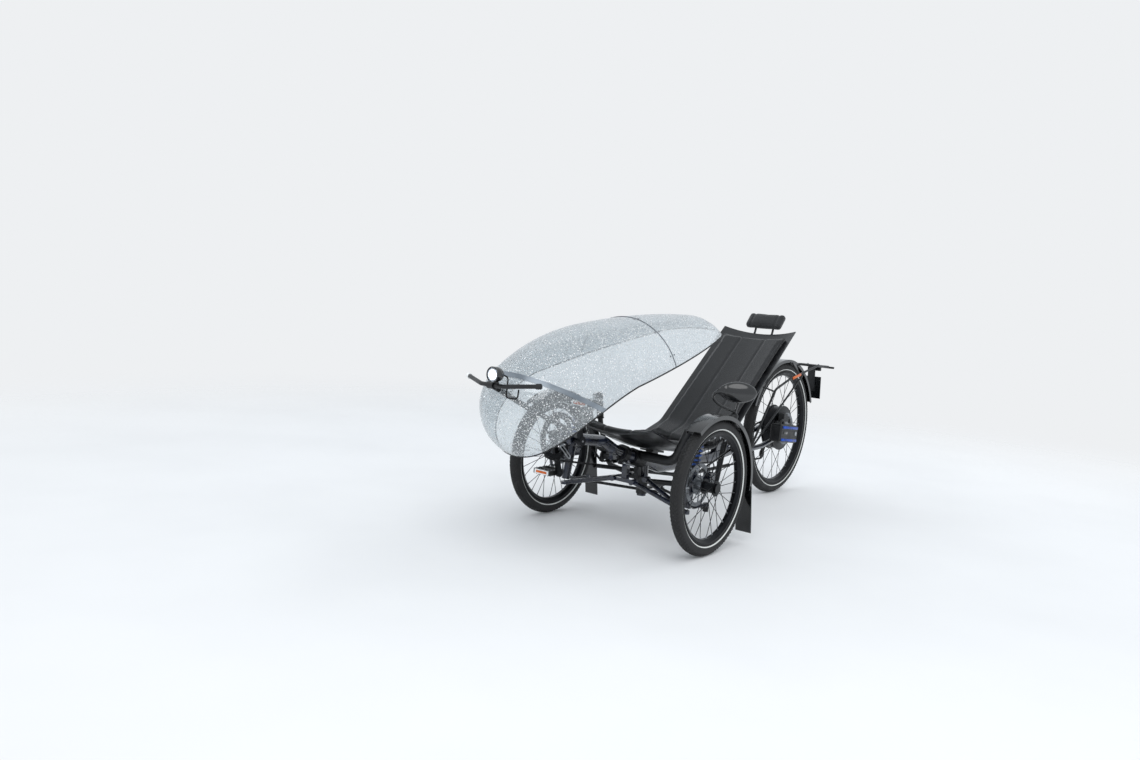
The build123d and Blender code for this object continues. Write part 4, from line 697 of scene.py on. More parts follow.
@dataclass
class Repeater:
    """Geometry Nodes that lay copies of a small part on points or along a path.

    Attributes:
        trees: Node tree of each layout, made when it is first needed.
    """

    trees: dict[Spread, Tree] = field(default_factory=dict)

    def tree(self, spread: Spread) -> Tree:
        """Build the node tree of a layout once.

        Args:
            spread: The layout.

        Returns:
            Its node tree.
        """
        if spread in self.trees:
            return self.trees[spread]
        tree = self.trees[spread] = bpy.data.node_groups.new(spread.value, "GeometryNodeTree")
        for name, kind, way in (
                ("Geometry", "NodeSocketGeometry", "INPUT"), ("Part", "NodeSocketObject", "INPUT"),
                ("Finish", "NodeSocketMaterial", "INPUT"), ("Count", "NodeSocketInt", "INPUT"),
                ("Narrow", "NodeSocketFloat", "INPUT"), ("Geometry", "NodeSocketGeometry", "OUTPUT")):
            tree.interface.new_socket(name, in_out=way, socket_type=kind)
        entry = add_node(tree, "NodeGroupInput").outputs
        part = add_node(tree, "GeometryNodeObjectInfo", links={"Object": entry["Part"]}).outputs["Geometry"]
        layout = self.points_layout if spread is Spread.POINTS else self.path_layout
        copies = add_node(tree, "GeometryNodeInstanceOnPoints",
                          links={"Instance": part} | layout(tree, entry))
        real = add_node(tree, "GeometryNodeRealizeInstances", links={"Geometry": copies.outputs[0]})
        done = add_node(tree, "GeometryNodeSetMaterial",
                        links={"Geometry": real.outputs[0], "Material": entry["Finish"]})
        add_node(tree, "NodeGroupOutput", links={"Geometry": done.outputs[0]})
        return tree

    def points_layout(self, tree: Tree, entry: bpy.types.bpy_prop_collection) -> dict[str, Socket]:
        """Points as they are, with the turn that each one's own axis asks for."""
        named = add_node(tree, "GeometryNodeInputNamedAttribute", {"Name": "axis"}, data_type="FLOAT_VECTOR")
        axis = named.outputs["Attribute"]
        turn = add_node(tree, "FunctionNodeAlignRotationToVector", links={"Vector": axis}, axis="Z")
        return {"Points": entry["Geometry"], "Rotation": turn.outputs[0]}

    def path_layout(self, tree: Tree, entry: bpy.types.bpy_prop_collection) -> dict[str, Socket]:
        """Even points on the path, turned along it, with the width of every second one."""
        line = add_node(tree, "GeometryNodeMeshToCurve", links={"Mesh": entry["Geometry"]}).outputs[0]
        even = add_node(tree, "GeometryNodeResampleCurve", links={"Curve": line, "Count": entry["Count"]})
        ahead = add_node(tree, "GeometryNodeInputTangent").outputs[0]
        turn = add_node(tree, "FunctionNodeAlignRotationToVector", links={"Vector": ahead}, axis="X")
        odd = maths(tree, "MODULO", add_node(tree, "GeometryNodeInputIndex").outputs[0], 2.0)
        wide = add_node(tree, "ShaderNodeMix", {2: 1.0}, {0: odd, 3: entry["Narrow"]}).outputs[0]
        size = add_node(tree, "ShaderNodeCombineXYZ", {"X": 1.0, "Z": 1.0}, {"Y": wide}).outputs[0]
        return {"Points": even.outputs[0], "Rotation": turn.outputs[0], "Scale": size}

    def lay(self, spread: Spread, base: Mesh, part: Shape, finish: Finish, count: int = 0,
            narrow: float = 1.0) -> Mesh:
        """Lay copies of a part and give back one plain mesh.

        Args:
            spread: The layout.
            base: Mesh with the points, or with the edges of the path.
            part: Shape of one copy about the origin.
            finish: Its surface.
            count: Number of copies along a path.
            narrow: Width of every second copy.

        Returns:
            The realized mesh.
        """
        source = link("copy", new_mesh("copy", part.points, faces=part.faces))
        carrier = link("carrier", base)
        tree = self.tree(spread)
        modifier = carrier.modifiers.new("copies", "NODES")
        modifier.node_group = tree
        values = {"Part": source, "Finish": finish.material(), "Count": count, "Narrow": narrow}
        for item in tree.interface.items_tree:
            if item.in_out == "INPUT" and item.name in values:
                modifier[item.identifier] = values[item.name]
        mesh = applied(carrier)
        for item in (carrier, source):
            bpy.data.objects.remove(item)
        return mesh

    def on_points(self, places: Sequence[tuple[Vector, Vector]], part: Shape, finish: Finish, name: str,
                  body: str, slot: str = "steel", angle: float = 40.0) -> None:
        """Make a piece of one copy at each place, its Z along the place's axis.

        Args:
            places: Place and axis of each copy.
            part: Shape of one copy about the origin.
            finish: Its surface.
            name: Name of the piece.
            body: Body that it rides on.
            slot: Name of a material slot; not used.
            angle: Edges sharper than this stay sharp.
        """
        base = new_mesh("places", [p for p, _ in places])
        axes = base.attributes.new("axis", "FLOAT_VECTOR", "POINT")
        axes.data.foreach_set("vector", np.array([a[:] for _, a in places], dtype=np.float32).ravel())
        adopt(self.lay(Spread.POINTS, base, part, finish), name, finish, body, slot, angle=angle)

    def along(self, path: Sequence[Vector], pitch: float, part: Shape, finish: Finish,
              narrow: float = 1.0) -> Mesh:
        """Lay copies at a pitch along a path, their X along it."""
        base = new_mesh("path", path, [(i, i + 1) for i in range(len(path) - 1)])
        return self.lay(Spread.PATH, base, part, finish, max(2, round(path_length(path) / pitch) + 1), narrow)


REPEATER = Repeater()


def hex_bolt(radius_mm: float, height_mm: float) -> Shape:
    """Bolt head about the origin: a washer and a domed hexagon, along Z."""
    r, h = radius_mm / 1000, height_mm / 1000
    washer_r, washer_h = r * 1.45, h * 0.2
    shape = Shape().lathe_solid([(0, washer_r), (washer_h, washer_r)], Vector(), UP, 16)
    return shape.lathe_solid([(washer_h, r), (h * 0.85, r), (h, r * 0.78)], Vector(), UP, 6)


# Wheels

@dataclass
class Wheel:
    """A wheel's tyre, tread, nipples and valve round its packed rim.

    Attributes:
        label: Which wheel.
        body: Body that turns.
        centre: Middle of the wheel.
        bead_r: Radius of the rim's shoulder.
        width: Width of the tyre.
        spokes: Number of spokes.
        stripe_r: Radius of the reflective stripe.
        block_pitch: Distance between tread blocks round the tyre.
        block_height: Height of a tread block.
        skin: Depth of the casing's surface below the tyre's outline.
        wall_end: Angle from the tread's middle where the casing's walls end.
        rib: Height, angle and width of the rib at each shoulder.
    """

    label: str
    body: str
    centre: Vector
    bead_r: float
    width: float
    spokes: int
    stripe_r: float
    block_pitch: float = 0.0165
    block_height: float = 0.0015
    skin: float = 0.0012
    wall_end: float = 132.0
    rib: Point = (0.0006, 1.0, 0.05)

    def build(self) -> None:
        """Make the tyre, its tread, the nipples and the valve."""
        rubber = tyre_rubber(self.label, tuple(self.centre), self.stripe_r)
        self.casing().piece(
            f"casing_{self.label}", rubber, self.body, "rubber", f"tyre_{self.label}", angle=60)
        REPEATER.on_points(self.tread_places(), self.tread_block(), rubber, f"tread_{self.label}", self.body,
                           "rubber", 30)
        self.nipples()

    def casing(self) -> Shape:
        """Round casing whose walls run down to the beads, with a rib at each shoulder."""
        half = self.width / 2
        middle = self.bead_r + half
        section = []
        height, shoulder, wide = self.rib
        for i in range(33):
            turn = math.radians(self.wall_end * (i / 16 - 1))
            radius = half - self.skin + height * math.exp(-((abs(turn) - shoulder) / wide) ** 2)
            section.append((radius * math.sin(turn), middle + radius * math.cos(turn)))
        neck, lip, bead = half - 0.0115, self.bead_r + 0.0035, self.bead_r - 0.0004
        section += [(neck, lip), (neck, bead), (-neck, bead), (-neck, lip)]
        return Shape().lathe(section, self.centre, LEFT, 120)

    def tread_places(self) -> list[tuple[Vector, Vector]]:
        """Places of the tread blocks: a middle row and two staggered rows each side."""
        half = self.width / 2
        middle = self.bead_r + half
        count = int(2 * math.pi * (middle + half) / self.block_pitch)
        places = []
        for row, tilt in enumerate((-44, -22, 0, 22, 44)):
            lean = math.radians(tilt)
            for i in range(count):
                out = outward(2 * math.pi * (i + 0.5 * (row % 2)) / count)
                axis = out * math.cos(lean) + LEFT * math.sin(lean)
                places.append((self.centre + out * middle + axis * (half - 0.0014), axis))
        return places

    def tread_block(self) -> Shape:
        """Low tapered block of tread."""
        low, high = (0.0056, 0.0038), (0.0047, 0.0030)
        return Shape().rings([[Vector((a * w[0], b * w[1], z)) for a, b in SQUARE]
                              for w, z in ((low, -0.001), (high, self.block_height))])

    def nipples(self) -> None:
        """Spoke nipples in the rim's well, and the valve half a spacing on."""
        well = self.bead_r - 0.014
        places = [(self.centre + out * (well - 0.010), out) for out in map(outward, full_turn(self.spokes))]
        nut = Shape().lathe_solid([(0, 0.0018), (0.003, 0.0024), (0.0112, 0.0024)], Vector(), UP, 8)
        REPEATER.on_points(places, nut, MACHINED, f"nipples_{self.label}", self.body)
        out = outward(math.pi / self.spokes)
        stem = [(0, 0.003), (0.006, 0.0026), (0.030, 0.0026), (0.030, 0.0032), (0.036, 0.0032)]
        valve = Shape().lathe_solid(stem, self.centre + out * (well + 0.002), -out, 12)
        valve.piece(f"valve_{self.label}", MACHINED, self.body, "steel")


# Springs

@dataclass
class Spring:
    """A spring strut: damper, shaft, seats and a wound coil.

    Attributes:
        label: Name of the piece's set.
        body: Body that it rides on.
        replaced: Solid that it takes the place of.
        foot: Lower or front end of the damper.
        head: Upper or rear end of the shaft.
        coil_r: Radius of the coil's outside.
        wire_r: Radius of the wire.
        coils: Number of turns.
        damper_r: Radius of the damper's body.
        shaft_r: Radius of the shaft.
        seat_low: Distance from the foot to the lower seat.
        seat_high: Distance from the head to the upper seat.
        lip: Thickness of the seats' rims, and how far they stand out past the coil.
    """

    label: str
    body: str
    replaced: str
    foot: Vector
    head: Vector
    coil_r: float = 0.021
    wire_r: float = 0.0042
    coils: int = 6
    damper_r: float = 0.012
    shaft_r: float = 0.008
    seat_low: float = 0.006
    seat_high: float = 0.022
    lip: ClassVar[float] = 0.003

    def build(self) -> None:
        """Make the damper, the seats and the coil."""
        axis = (self.head - self.foot).normalized()
        length = (self.head - self.foot).length
        high = length - self.seat_high
        step = high * 0.62
        outline = [(0, self.damper_r), (step, self.damper_r), (step + 0.003, self.damper_r * 0.85),
                   (step + 0.003, self.shaft_r), (length, self.shaft_r)]
        Shape().lathe_solid(outline, self.foot, axis, 32).piece(
            f"{self.label}_damper", SATIN_BLACK, self.body, "black_metal", self.replaced)
        seats = Shape()
        for start, way in ((self.seat_low, 1), (high, -1)):
            rim = self.coil_r + self.lip
            bore = self.shaft_r * 0.9
            section = [(0, bore), (0, rim), (self.lip * way, rim), (0.005 * way, self.coil_r - 0.002),
                       (0.009 * way, self.coil_r - 2.2 * self.wire_r), (0.009 * way, bore)]
            seats.lathe([(a + start, r) for a, r in section], self.foot, axis, 32)
        seats.piece(f"{self.label}_seats", MACHINED, self.body, "bare_metal")
        inset = self.lip + self.wire_r
        self.coil(axis, self.seat_low + inset, high - inset).piece(
            f"{self.label}_coil", BLUE_SPRING, self.body, "blue_spring", angle=80)

    def coil(self, axis: Vector, low: float, high: float) -> Shape:
        """Wire wound between two places on the axis, with closed end turns.

        Args:
            axis: Direction of the strut.
            low: Start of the coil along the axis.
            high: End of the coil.

        Returns:
            The wire's shape.
        """
        side = axis.orthogonal().normalized()
        radius = self.coil_r - self.wire_r
        path = []
        steps = self.coils * 20
        for i in range(steps + 1):
            share = i / steps
            eased = share - 0.5 / self.coils * math.sin(2 * math.pi * share) / math.pi
            out = Matrix.Rotation(2 * math.pi * self.coils * share, 3, axis) @ side
            path.append(self.foot + axis * (low + (high - low) * eased) + out * radius)
        return Shape().tube(path, self.wire_r, 10)


# Chain

@dataclass
class Drive:
    """Chain, guide tubes and the flexible stretch over the fold.

    Attributes:
        y: Plane of the chain.
        fold: Centre of the fold's idler, in millimetres.
        idler_r: Radius of the chain's middle on that idler.
        ring: Centre of the chainring.
        ring_r: Radius of the chain's middle on the ring.
        corner: Where the driving run bends under its idler.
        corner_r: Radius of that bend.
        cog: Centre of the rear cogs.
        cog_r: Radius of the chain's middle on the cog.
        jockey_high: Centre of the upper jockey wheel.
        jockey_low: Centre of the lower jockey wheel.
        jockey_r: Radius of the chain's middle on the jockey wheels.
        seat: How far inside those radii the links sit on ring and cog, and on the jockey wheels.
        gap: Length of each run behind the fold that the flexible stretch covers.
        pitch: Pitch of the links, in metres.
    """

    y: float = -45.0
    fold: Spot = (-500.0, 196.0)
    idler_r: float = 34.3
    ring: Spot = CRANK
    ring_r: float = 88.3
    corner: Spot = (105.0, 284.0)
    corner_r: float = 22.3
    cog: Spot = REAR_AXLE
    cog_r: float = 42.3
    jockey_high: Spot = (-1288.0, 263.5)
    jockey_low: Spot = (-1250.0, 193.5)
    jockey_r: float = 24.3
    seat: Spot = (4.0, 3.0)
    gap: float = 95.0
    pitch: float = 0.0127

    def line(self, points: Iterable[Spot]) -> list[Vector]:
        """Points of the chain's plane in the part's frame."""
        return [at(x, self.y, z) for x, z in points]

    def link(self) -> Shape:
        """One pitch of roller chain: two waisted plates, a roller and its pin."""
        shape = Shape()
        half = [(-0.0100, 0.0), (-0.0090, 0.0030), (-0.0064, 0.0040), (-0.0030, 0.0031)]
        upper = half + [(-x, z) for x, z in reversed(half)]
        outline = upper + [(x, -z) for x, z in reversed(upper[1:-1])]
        for y in (-0.0034, 0.0025):
            shape.rings([[Vector((x, y + t, z)) for x, z in outline] for t in (0.0, 0.0009)])
        return shape.lathe_solid([(-0.0025, 0.0038), (0.0025, 0.0038)], Vector((0.0064, 0, 0)), LEFT, 10)

    def share(self, a: Spot, b: Spot, start: float, end: float) -> list[Spot]:
        """Stretch of a run between two shares of its length."""
        return [(a[0] + (b[0] - a[0]) * s, a[1] + (b[1] - a[1]) * s) for s in (start, end)]

    def half(self, place: str, body: str, path: Sequence[Vector], tubes: Iterable[tuple]) -> None:
        """Lay the links and the guide tubes of the front or the rear half.

        Args:
            place: Which half, as the solid's name has it.
            body: Body that the half rides on.
            path: Points of the chain's middle.
            tubes: Rows of (start, end, first share, last share), one for each tube.
        """
        links = REPEATER.along(path, self.pitch, self.link(), CHAIN_STEEL, 0.74)
        adopt(links, f"chain_links_{place}", CHAIN_STEEL, body, "chain_steel", f"chain_{place}", angle=30)
        shape = Shape()
        bore, wall, flare, mouth = 0.0066, 0.0080, 0.0096, 0.008
        for a, b, start, end in tubes:
            first, last = self.line(self.share(a, b, start, end))
            length = (last - first).length
            section = [(0, bore + 0.0014), (0, flare), (mouth, wall), (length - mouth, wall), (length, flare),
                       (length, bore + 0.0014), (length - mouth, bore), (mouth, bore)]
            shape.lathe(section, first, last - first, 24)
        shape.piece(f"guide_tubes_{place}", MOULDED_NYLON, body, "black_plastic")

    def build(self) -> None:
        """Lay both halves, and the flexible stretch between them."""
        rear, _ = tangent(self.fold, self.idler_r, self.corner, 0)
        _, front = tangent(self.corner, 0, self.ring, self.ring_r)
        low_rear, low_front = tangent(self.fold, -self.idler_r, self.ring, -self.ring_r)
        top, bottom = (math.degrees(math.atan2(z - self.ring[1], x - self.ring[0]))
                       for x, z in (front, low_front))
        drive = rounded(self.line([rear, self.corner, front]), [self.corner_r / 1000])
        drive += self.line(turned(self.ring, self.ring_r - self.seat[0], top, bottom, 40) + [low_rear])
        self.half("front", "chassis", drive,
                  ((rear, self.corner, 0.08, 0.86), (low_rear, low_front, 0.08, 0.72)))
        self.rear_half()

    def rear_half(self) -> None:
        """Runs behind the fold: over the cog, through the gear mechanism and back."""
        upper = tangent(self.cog, self.cog_r, self.fold, self.idler_r)[::-1]
        lower = tangent(self.jockey_low, -self.jockey_r, self.fold, -self.idler_r)[::-1]
        starts = [self.gap / math.dist(a, b) for a, b in (upper, lower)]
        path = self.share(*upper, starts[0], 1.0)
        jockey_r = self.jockey_r - self.seat[1]
        path += turned(self.cog, self.cog_r - self.seat[0], 84, 268, 22)
        path += turned(self.jockey_high, jockey_r, 52, -46, 8)
        path += turned(self.jockey_low, jockey_r, 134, 262, 10)
        path += self.share(*lower, starts[1], 1.0)[::-1]
        self.half("rear", "rear_section", self.line(path),
                  ((*upper, starts[0], 0.55), (*lower, starts[1], 0.55)))
        stretch = Shape()
        for (a, b), start in zip((upper, lower), starts):
            ends = self.line(self.share(a, b, 0.02, start))
            stretch.tube([ends[0].lerp(ends[1], i / 24) for i in range(25)], 0.0052, 12)
        piece = stretch.piece("guide_stretch", MOULDED_NYLON, "", "black_plastic", angle=80)
        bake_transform(piece)


@dataclass
class BoomFittings:
    """Wire loop that keeps the chain by its ring, and the lever that closes the boom's clamp.

    Attributes:
        loop_top: Upper end of the wire loop, in millimetres.
        loop_low: Lower end of the wire loop.
        loop_half: Half of the loop's width.
        post: Foot of the loop's post on the boom.
        lever: Corners of the lever, from the clamp's right ear to its tip.
        nut: Place of the nut on that ear.
    """

    loop_top: Point = (362.0, -37.0, 365.0)
    loop_low: Point = (313.0, -37.0, 320.0)
    loop_half: float = 0.006
    post: Point = (352.0, -15.0, 386.0)
    lever: tuple[Point, ...] = ((36.0, -12.0, 281.0), (36.0, 15.0, 281.0), (26.0, 19.0, 277.0),
                                (-24.0, 22.0, 262.0))
    nut: Point = (36.0, -11.0, 281.0)

    def build(self) -> None:
        """Bend the loop and its post, and the lever with its nut."""
        top, low = at(*self.loop_top), at(*self.loop_low)
        along = (low - top).normalized()
        across = along.cross(LEFT)
        path = []
        for centre, first in ((low, -90), (top, 90)):
            for i in range(13):
                a = math.radians(first + 15 * i)
                path.append(centre + (along * math.cos(a) + across * math.sin(a)) * self.loop_half)
        keeper = Shape().tube(path, 0.0024, 10, joined=True)
        keeper.tube([at(*self.post), top], 0.003, 12)
        keeper.piece("chain_keeper", MACHINED, "chassis", "bare_metal", angle=80)
        corners = [at(*p) for p in self.lever]
        lever = Shape().tube(rounded(corners, [0.004, 0.012], 0.003), 0.0042, 12, flat=0.75)
        lever.lathe_solid([(-0.004, 0.006), (0.002, 0.006)], at(*self.nut), -LEFT, 20)
        lever.piece("boom_lever", MACHINED, "chassis", "bare_metal", angle=60)


# Fairing

@dataclass
class Fairing:
    """Rim trim, joint line and small screws of the clear fairing.

    Attributes:
        nose: Tip of the axis, in millimetres.
        tilt: Rise of the axis to the rear, in degrees.
        length: Length along the axis.
        radius: Largest radius.
        apex: Where on the axis that is.
        nose_r: Radius of the round nose.
        tail_r: Radius of the round tail.
        seam_s: Place of the rear joint on the axis.
        rim_tail: Rear end of the rim's straight run.
        rim_bend: Where that run meets the arc.
        rim_mid: Middle of the arc.
        rim_front: Front end of the arc.
        beyond: How far the straight run goes on past the tail, back and up, so that it leaves the shell.
    """

    nose: Spot = (750.4, 494.6)
    tilt: float = 9.32
    length: float = 1309.7
    radius: float = 239.7
    apex: float = 496.6
    nose_r: float = 177.2
    tail_r: float = 189.4
    seam_s: float = 712.0
    rim_tail: Spot = (-640.0, 853.0)
    rim_bend: Spot = (300.0, 610.0)
    rim_mid: Spot = (487.0, 515.0)
    rim_front: Spot = (668.0, 325.0)
    beyond: Spot = (60.0, 15.0)

    def reach(self, s: float) -> float:
        """Radius of the shell at a place on its axis, in millimetres."""
        if s <= 0 or s >= self.length:
            return 0.0
        ahead = s < self.apex
        tip = self.nose_r if ahead else self.tail_r
        span = (self.apex if ahead else self.length - self.apex) - tip
        big = (span * span + self.radius ** 2 - tip * tip) / (2 * (self.radius - tip))
        away = abs(s - self.apex)
        if away <= big * math.sin(math.atan2(span, big - self.radius)):
            return self.radius - big + math.sqrt(big * big - away * away)
        return math.sqrt(max(0.0, tip * tip - (away - span) ** 2))

    def local(self, x: float, z: float) -> Spot:
        """Place on the axis and height above it of a point in the middle plane."""
        t = math.radians(self.tilt)
        dx, dz = self.nose[0] - x, z - self.nose[1]
        return dx * math.cos(t) + dz * math.sin(t), dz * math.cos(t) - dx * math.sin(t)

    def place(self, s: float, h: float, y: float) -> Vector:
        """Point of the part's frame from its place on the axis, its height above it and its Y."""
        t = math.radians(self.tilt)
        x = self.nose[0] - s * math.cos(t) + h * math.sin(t)
        return at(x, y, self.nose[1] + s * math.sin(t) + h * math.cos(t))

    def rim_line(self) -> list[Spot]:
        """Side view of the lower edge: a straight run and an arc through three points."""
        (ax, az), (bx, bz), (cx, cz) = self.rim_bend, self.rim_mid, self.rim_front
        d = 2 * (ax * (bz - cz) + bx * (cz - az) + cx * (az - bz))
        sa, sb, sc = ax * ax + az * az, bx * bx + bz * bz, cx * cx + cz * cz
        ux = (sa * (bz - cz) + sb * (cz - az) + sc * (az - bz)) / d
        uz = (sa * (cx - bx) + sb * (ax - cx) + sc * (bx - ax)) / d
        radius = math.hypot(ax - ux, az - uz)
        first, last = (math.degrees(math.atan2(z - uz, x - ux)) for x, z in (self.rim_bend, self.rim_front))
        tx, tz = self.rim_tail[0] - self.beyond[0], self.rim_tail[1] + self.beyond[1]
        straight = [(tx + (ax - tx) * i / 160, tz + (az - tz) * i / 160) for i in range(160)]
        return straight + turned((ux, uz), radius, first, last, 110)

    def rim_loop(self) -> list[Vector]:
        """Closed loop of the lower edge, round both sides."""
        half = []
        for x, z in self.rim_line():
            s, h = self.local(x, z)
            room = self.reach(s) ** 2 - h * h
            if room > 0:
                half.append((s, h, math.sqrt(room)))
        left = [self.place(s, h, y) for s, h, y in half]
        right = [self.place(s, h, -y) for s, h, y in reversed(half)]
        return left + right

    def joint_line(self, s: float, lift: float) -> list[Vector]:
        """Arch of the shell at a place on its axis, down to the lower edge on both sides."""
        rim = [self.local(x, z) for x, z in self.rim_line()]
        low = min(rim, key=lambda p: abs(p[0] - s))[1]
        radius = self.reach(s) + lift
        open_angle = math.acos(max(-1.0, min(1.0, low / radius)))
        turns = [open_angle * (i / 60 - 1) for i in range(121)]
        return [self.place(s, radius * math.cos(a), radius * math.sin(a)) for a in turns]

    def build(self) -> None:
        """Trim the edge, lay the joint line and set the screws."""
        for path, radius, joined, name, finish in (
                (self.rim_loop(), 0.0026, True, "fairing_edge", EDGE_TRIM),
                (self.joint_line(self.seam_s, 0.3), 0.0018, False, "fairing_joint", GREY_SEAL)):
            Shape().tube(path, radius, 10, joined).piece(name, finish, "fairing", "grip_rubber", angle=80)
        places = []
        shares, aside = (-0.86, -0.5, -0.18, 0.18, 0.5, 0.86), 14
        for share in shares:
            for s in (self.seam_s - aside, self.seam_s + aside):
                point = self.joint_line(s, 0.0)[int((share + 1) * 60)]
                places.append((point, (point - self.place(s, 0, 0)).normalized()))
        REPEATER.on_points(places, hex_bolt(2.6, 2.2), DRAWN_STEEL, "fairing_screws", "fairing")


# Lamps and mirror

@dataclass
class Headlamp:
    """Lens, reflector and lit diode of the headlamp, and the caps of the lamp bar.

    Attributes:
        centre: Middle of the lamp's housing.
        radius: Radius of the opening.
        length: Length of the housing.
        bar_tip: Left tip of the lamp bar, in millimetres.
        bar_bend: Where the bar bends towards that tip.
    """

    centre: Vector = field(default_factory=lambda: at(782, 24, 636))
    radius: float = 0.0222
    length: float = 0.038
    bar_tip: Point = (725.0, 158.0, 612.0)
    bar_bend: Point = (777.0, 46.0, 600.0)

    def build(self) -> None:
        """Make the lens, the bowl behind it, the diode, the ring round them and the bar's caps."""
        rim, edge, dome, ripple = self.radius, 0.0028, 0.0032, 0.0002
        radii = [max(rim * i / 8, 2 * CORE) for i in range(9)]
        lens = [(0.0016, r) for r in radii]
        lens += [(edge + dome * (1 - (i / 8) ** 2) + ripple * (i % 2), radii[i]) for i in range(8, -1, -1)]
        bowl = [(0.0, CORE), (0.0, 0.006), (0.0012, rim - 0.001), (0.0006, rim - 0.0004), (-0.0002, CORE)]
        diode = [(0.0004, CORE), (0.0004, 0.016), (0.0012, 0.016), (0.0014, CORE)]
        ring = [(0.0, rim + 0.0004), (0.0, rim + 0.0034), (0.0034, rim + 0.0034), (0.0046, rim + 0.0022),
                (0.0046, rim + 0.0004)]
        front = self.centre + FORE * (self.length / 2 - 0.0026)
        for name, section, steps, finish, slot, angle in (
                ("bowl", bowl, 48, MACHINED, "bare_metal", 40),
                ("diode", diode, 32, LAMP_LED, "lens_red", 40),
                ("lens", lens, 48, LAMP_LENS, "clear_sheet", 70),
                ("ring", ring, 64, GLOSS_ABS, "lamp_body", 40)):
            Shape().lathe(section, front, FORE, steps).piece(
                f"lamp_{name}", finish, "fairing", slot, angle=angle)
        for side in Side:
            self.bar_cap(side)

    def bar_cap(self, side: Side) -> None:
        """Domed cap on one tip of the lamp bar, pale on the right."""
        tip, bend = side.place(self.bar_tip), side.place(self.bar_bend)
        cap = [(-0.012, 0.0072), (-0.012, 0.0092), (0.0035, 0.0092), (0.006, 0.0060), (0.007, CORE),
               (-0.010, CORE)]
        finish = WHITE_CAP if side is Side.RIGHT else MOULDED_NYLON
        Shape().lathe(cap, tip, tip - bend, 24).piece(
            f"bar_cap_{side.label}", finish, "fairing", "black_plastic")


@dataclass
class Mirror:
    """Glass, bezel and arm of the mirror.

    Attributes:
        centre: Middle of the housing.
        width: Width of the housing.
        height: Height of the housing.
        depth: Depth of the housing, before its flat side is cut.
        turn: Turn about Z, in degrees.
        grip_top: Where the arm meets the left grip.
        arm_r: Radius of the arm.
        swell: How much wider and higher it is at the housing, and how soon that fades.
    """

    centre: Vector = field(default_factory=lambda: at(-196, 350, 588))
    width: float = 0.138
    height: float = 0.080
    depth: float = 0.040
    turn: float = 35.0
    grip_top: Vector = field(default_factory=lambda: at(-221, 329, 511))
    arm_r: float = 0.005
    swell: Point = (0.008, 0.024, 0.026)

    def spin(self) -> Matrix:
        """Turn of the housing about Z."""
        return Matrix.Rotation(math.radians(self.turn), 3, "Z")

    def oval(self, inset: float, back: float) -> list[Vector]:
        """Loop along the edge of the housing's flat side.

        Args:
            inset: Distance inside that edge.
            back: Distance behind the flat side.

        Returns:
            Points of the loop.
        """
        flat = self.depth / 4
        share = math.sqrt(1 - (flat / (self.depth / 2)) ** 2)
        wide, high = self.width / 2 * share - inset, self.height / 2 * share - inset
        return [self.centre + self.spin() @ Vector((-flat - back, wide * math.cos(a), high * math.sin(a)))
                for a in full_turn(64)]

    def build(self) -> None:
        """Lay the glass in the housing's flat side, inside a narrow bezel, and add the arm."""
        glass = ((0.004, -0.0006), (0.004, 0.0012), (0.0052, 0.0018))
        Shape().rings([self.oval(*row) for row in glass]).piece(
            "mirror_glass", MIRROR_GLASS, "handlebar", "bare_metal")
        bezel = ((0.004, -0.0006), (0.004, 0.0030), (0.001, 0.0034), (-0.0004, 0.001), (-0.0004, -0.0006))
        Shape().rings([self.oval(*row) for row in bezel], joined=True).piece(
            "mirror_bezel", MOULDED_NYLON, "handlebar", "black_plastic")
        self.arm()

    def arm(self) -> None:
        """Neck that narrows out of the housing's inner end and curves down to the grip."""
        inward = self.spin() @ -LEFT
        start = self.centre + inward * 0.045 + self.spin() @ (FORE * 0.003)
        past, above = start + inward * 0.075, start + inward * 0.060 - UP * 0.055
        path = interpolate_bezier(start, past, above, self.grip_top, 40)
        wider, higher, fade = self.swell
        loops, run = [], 0.0
        for i, point in enumerate(path):
            before, after = path[max(i - 1, 0)], path[min(i + 1, len(path) - 1)]
            run += (point - before).length
            along = (after - before).normalized()
            side = along.cross(UP).normalized()
            up = side.cross(along)
            swell = math.exp(-(run / fade) ** 2)
            wide, high = self.arm_r + wider * swell, self.arm_r + higher * swell
            loops.append([point + side * (wide * math.cos(a)) + up * (high * math.sin(a))
                          for a in full_turn(20)])
        Shape().rings(loops).piece("mirror_arm", GLOSS_ABS, "handlebar", "black_plastic", angle=80)


# Hand controls

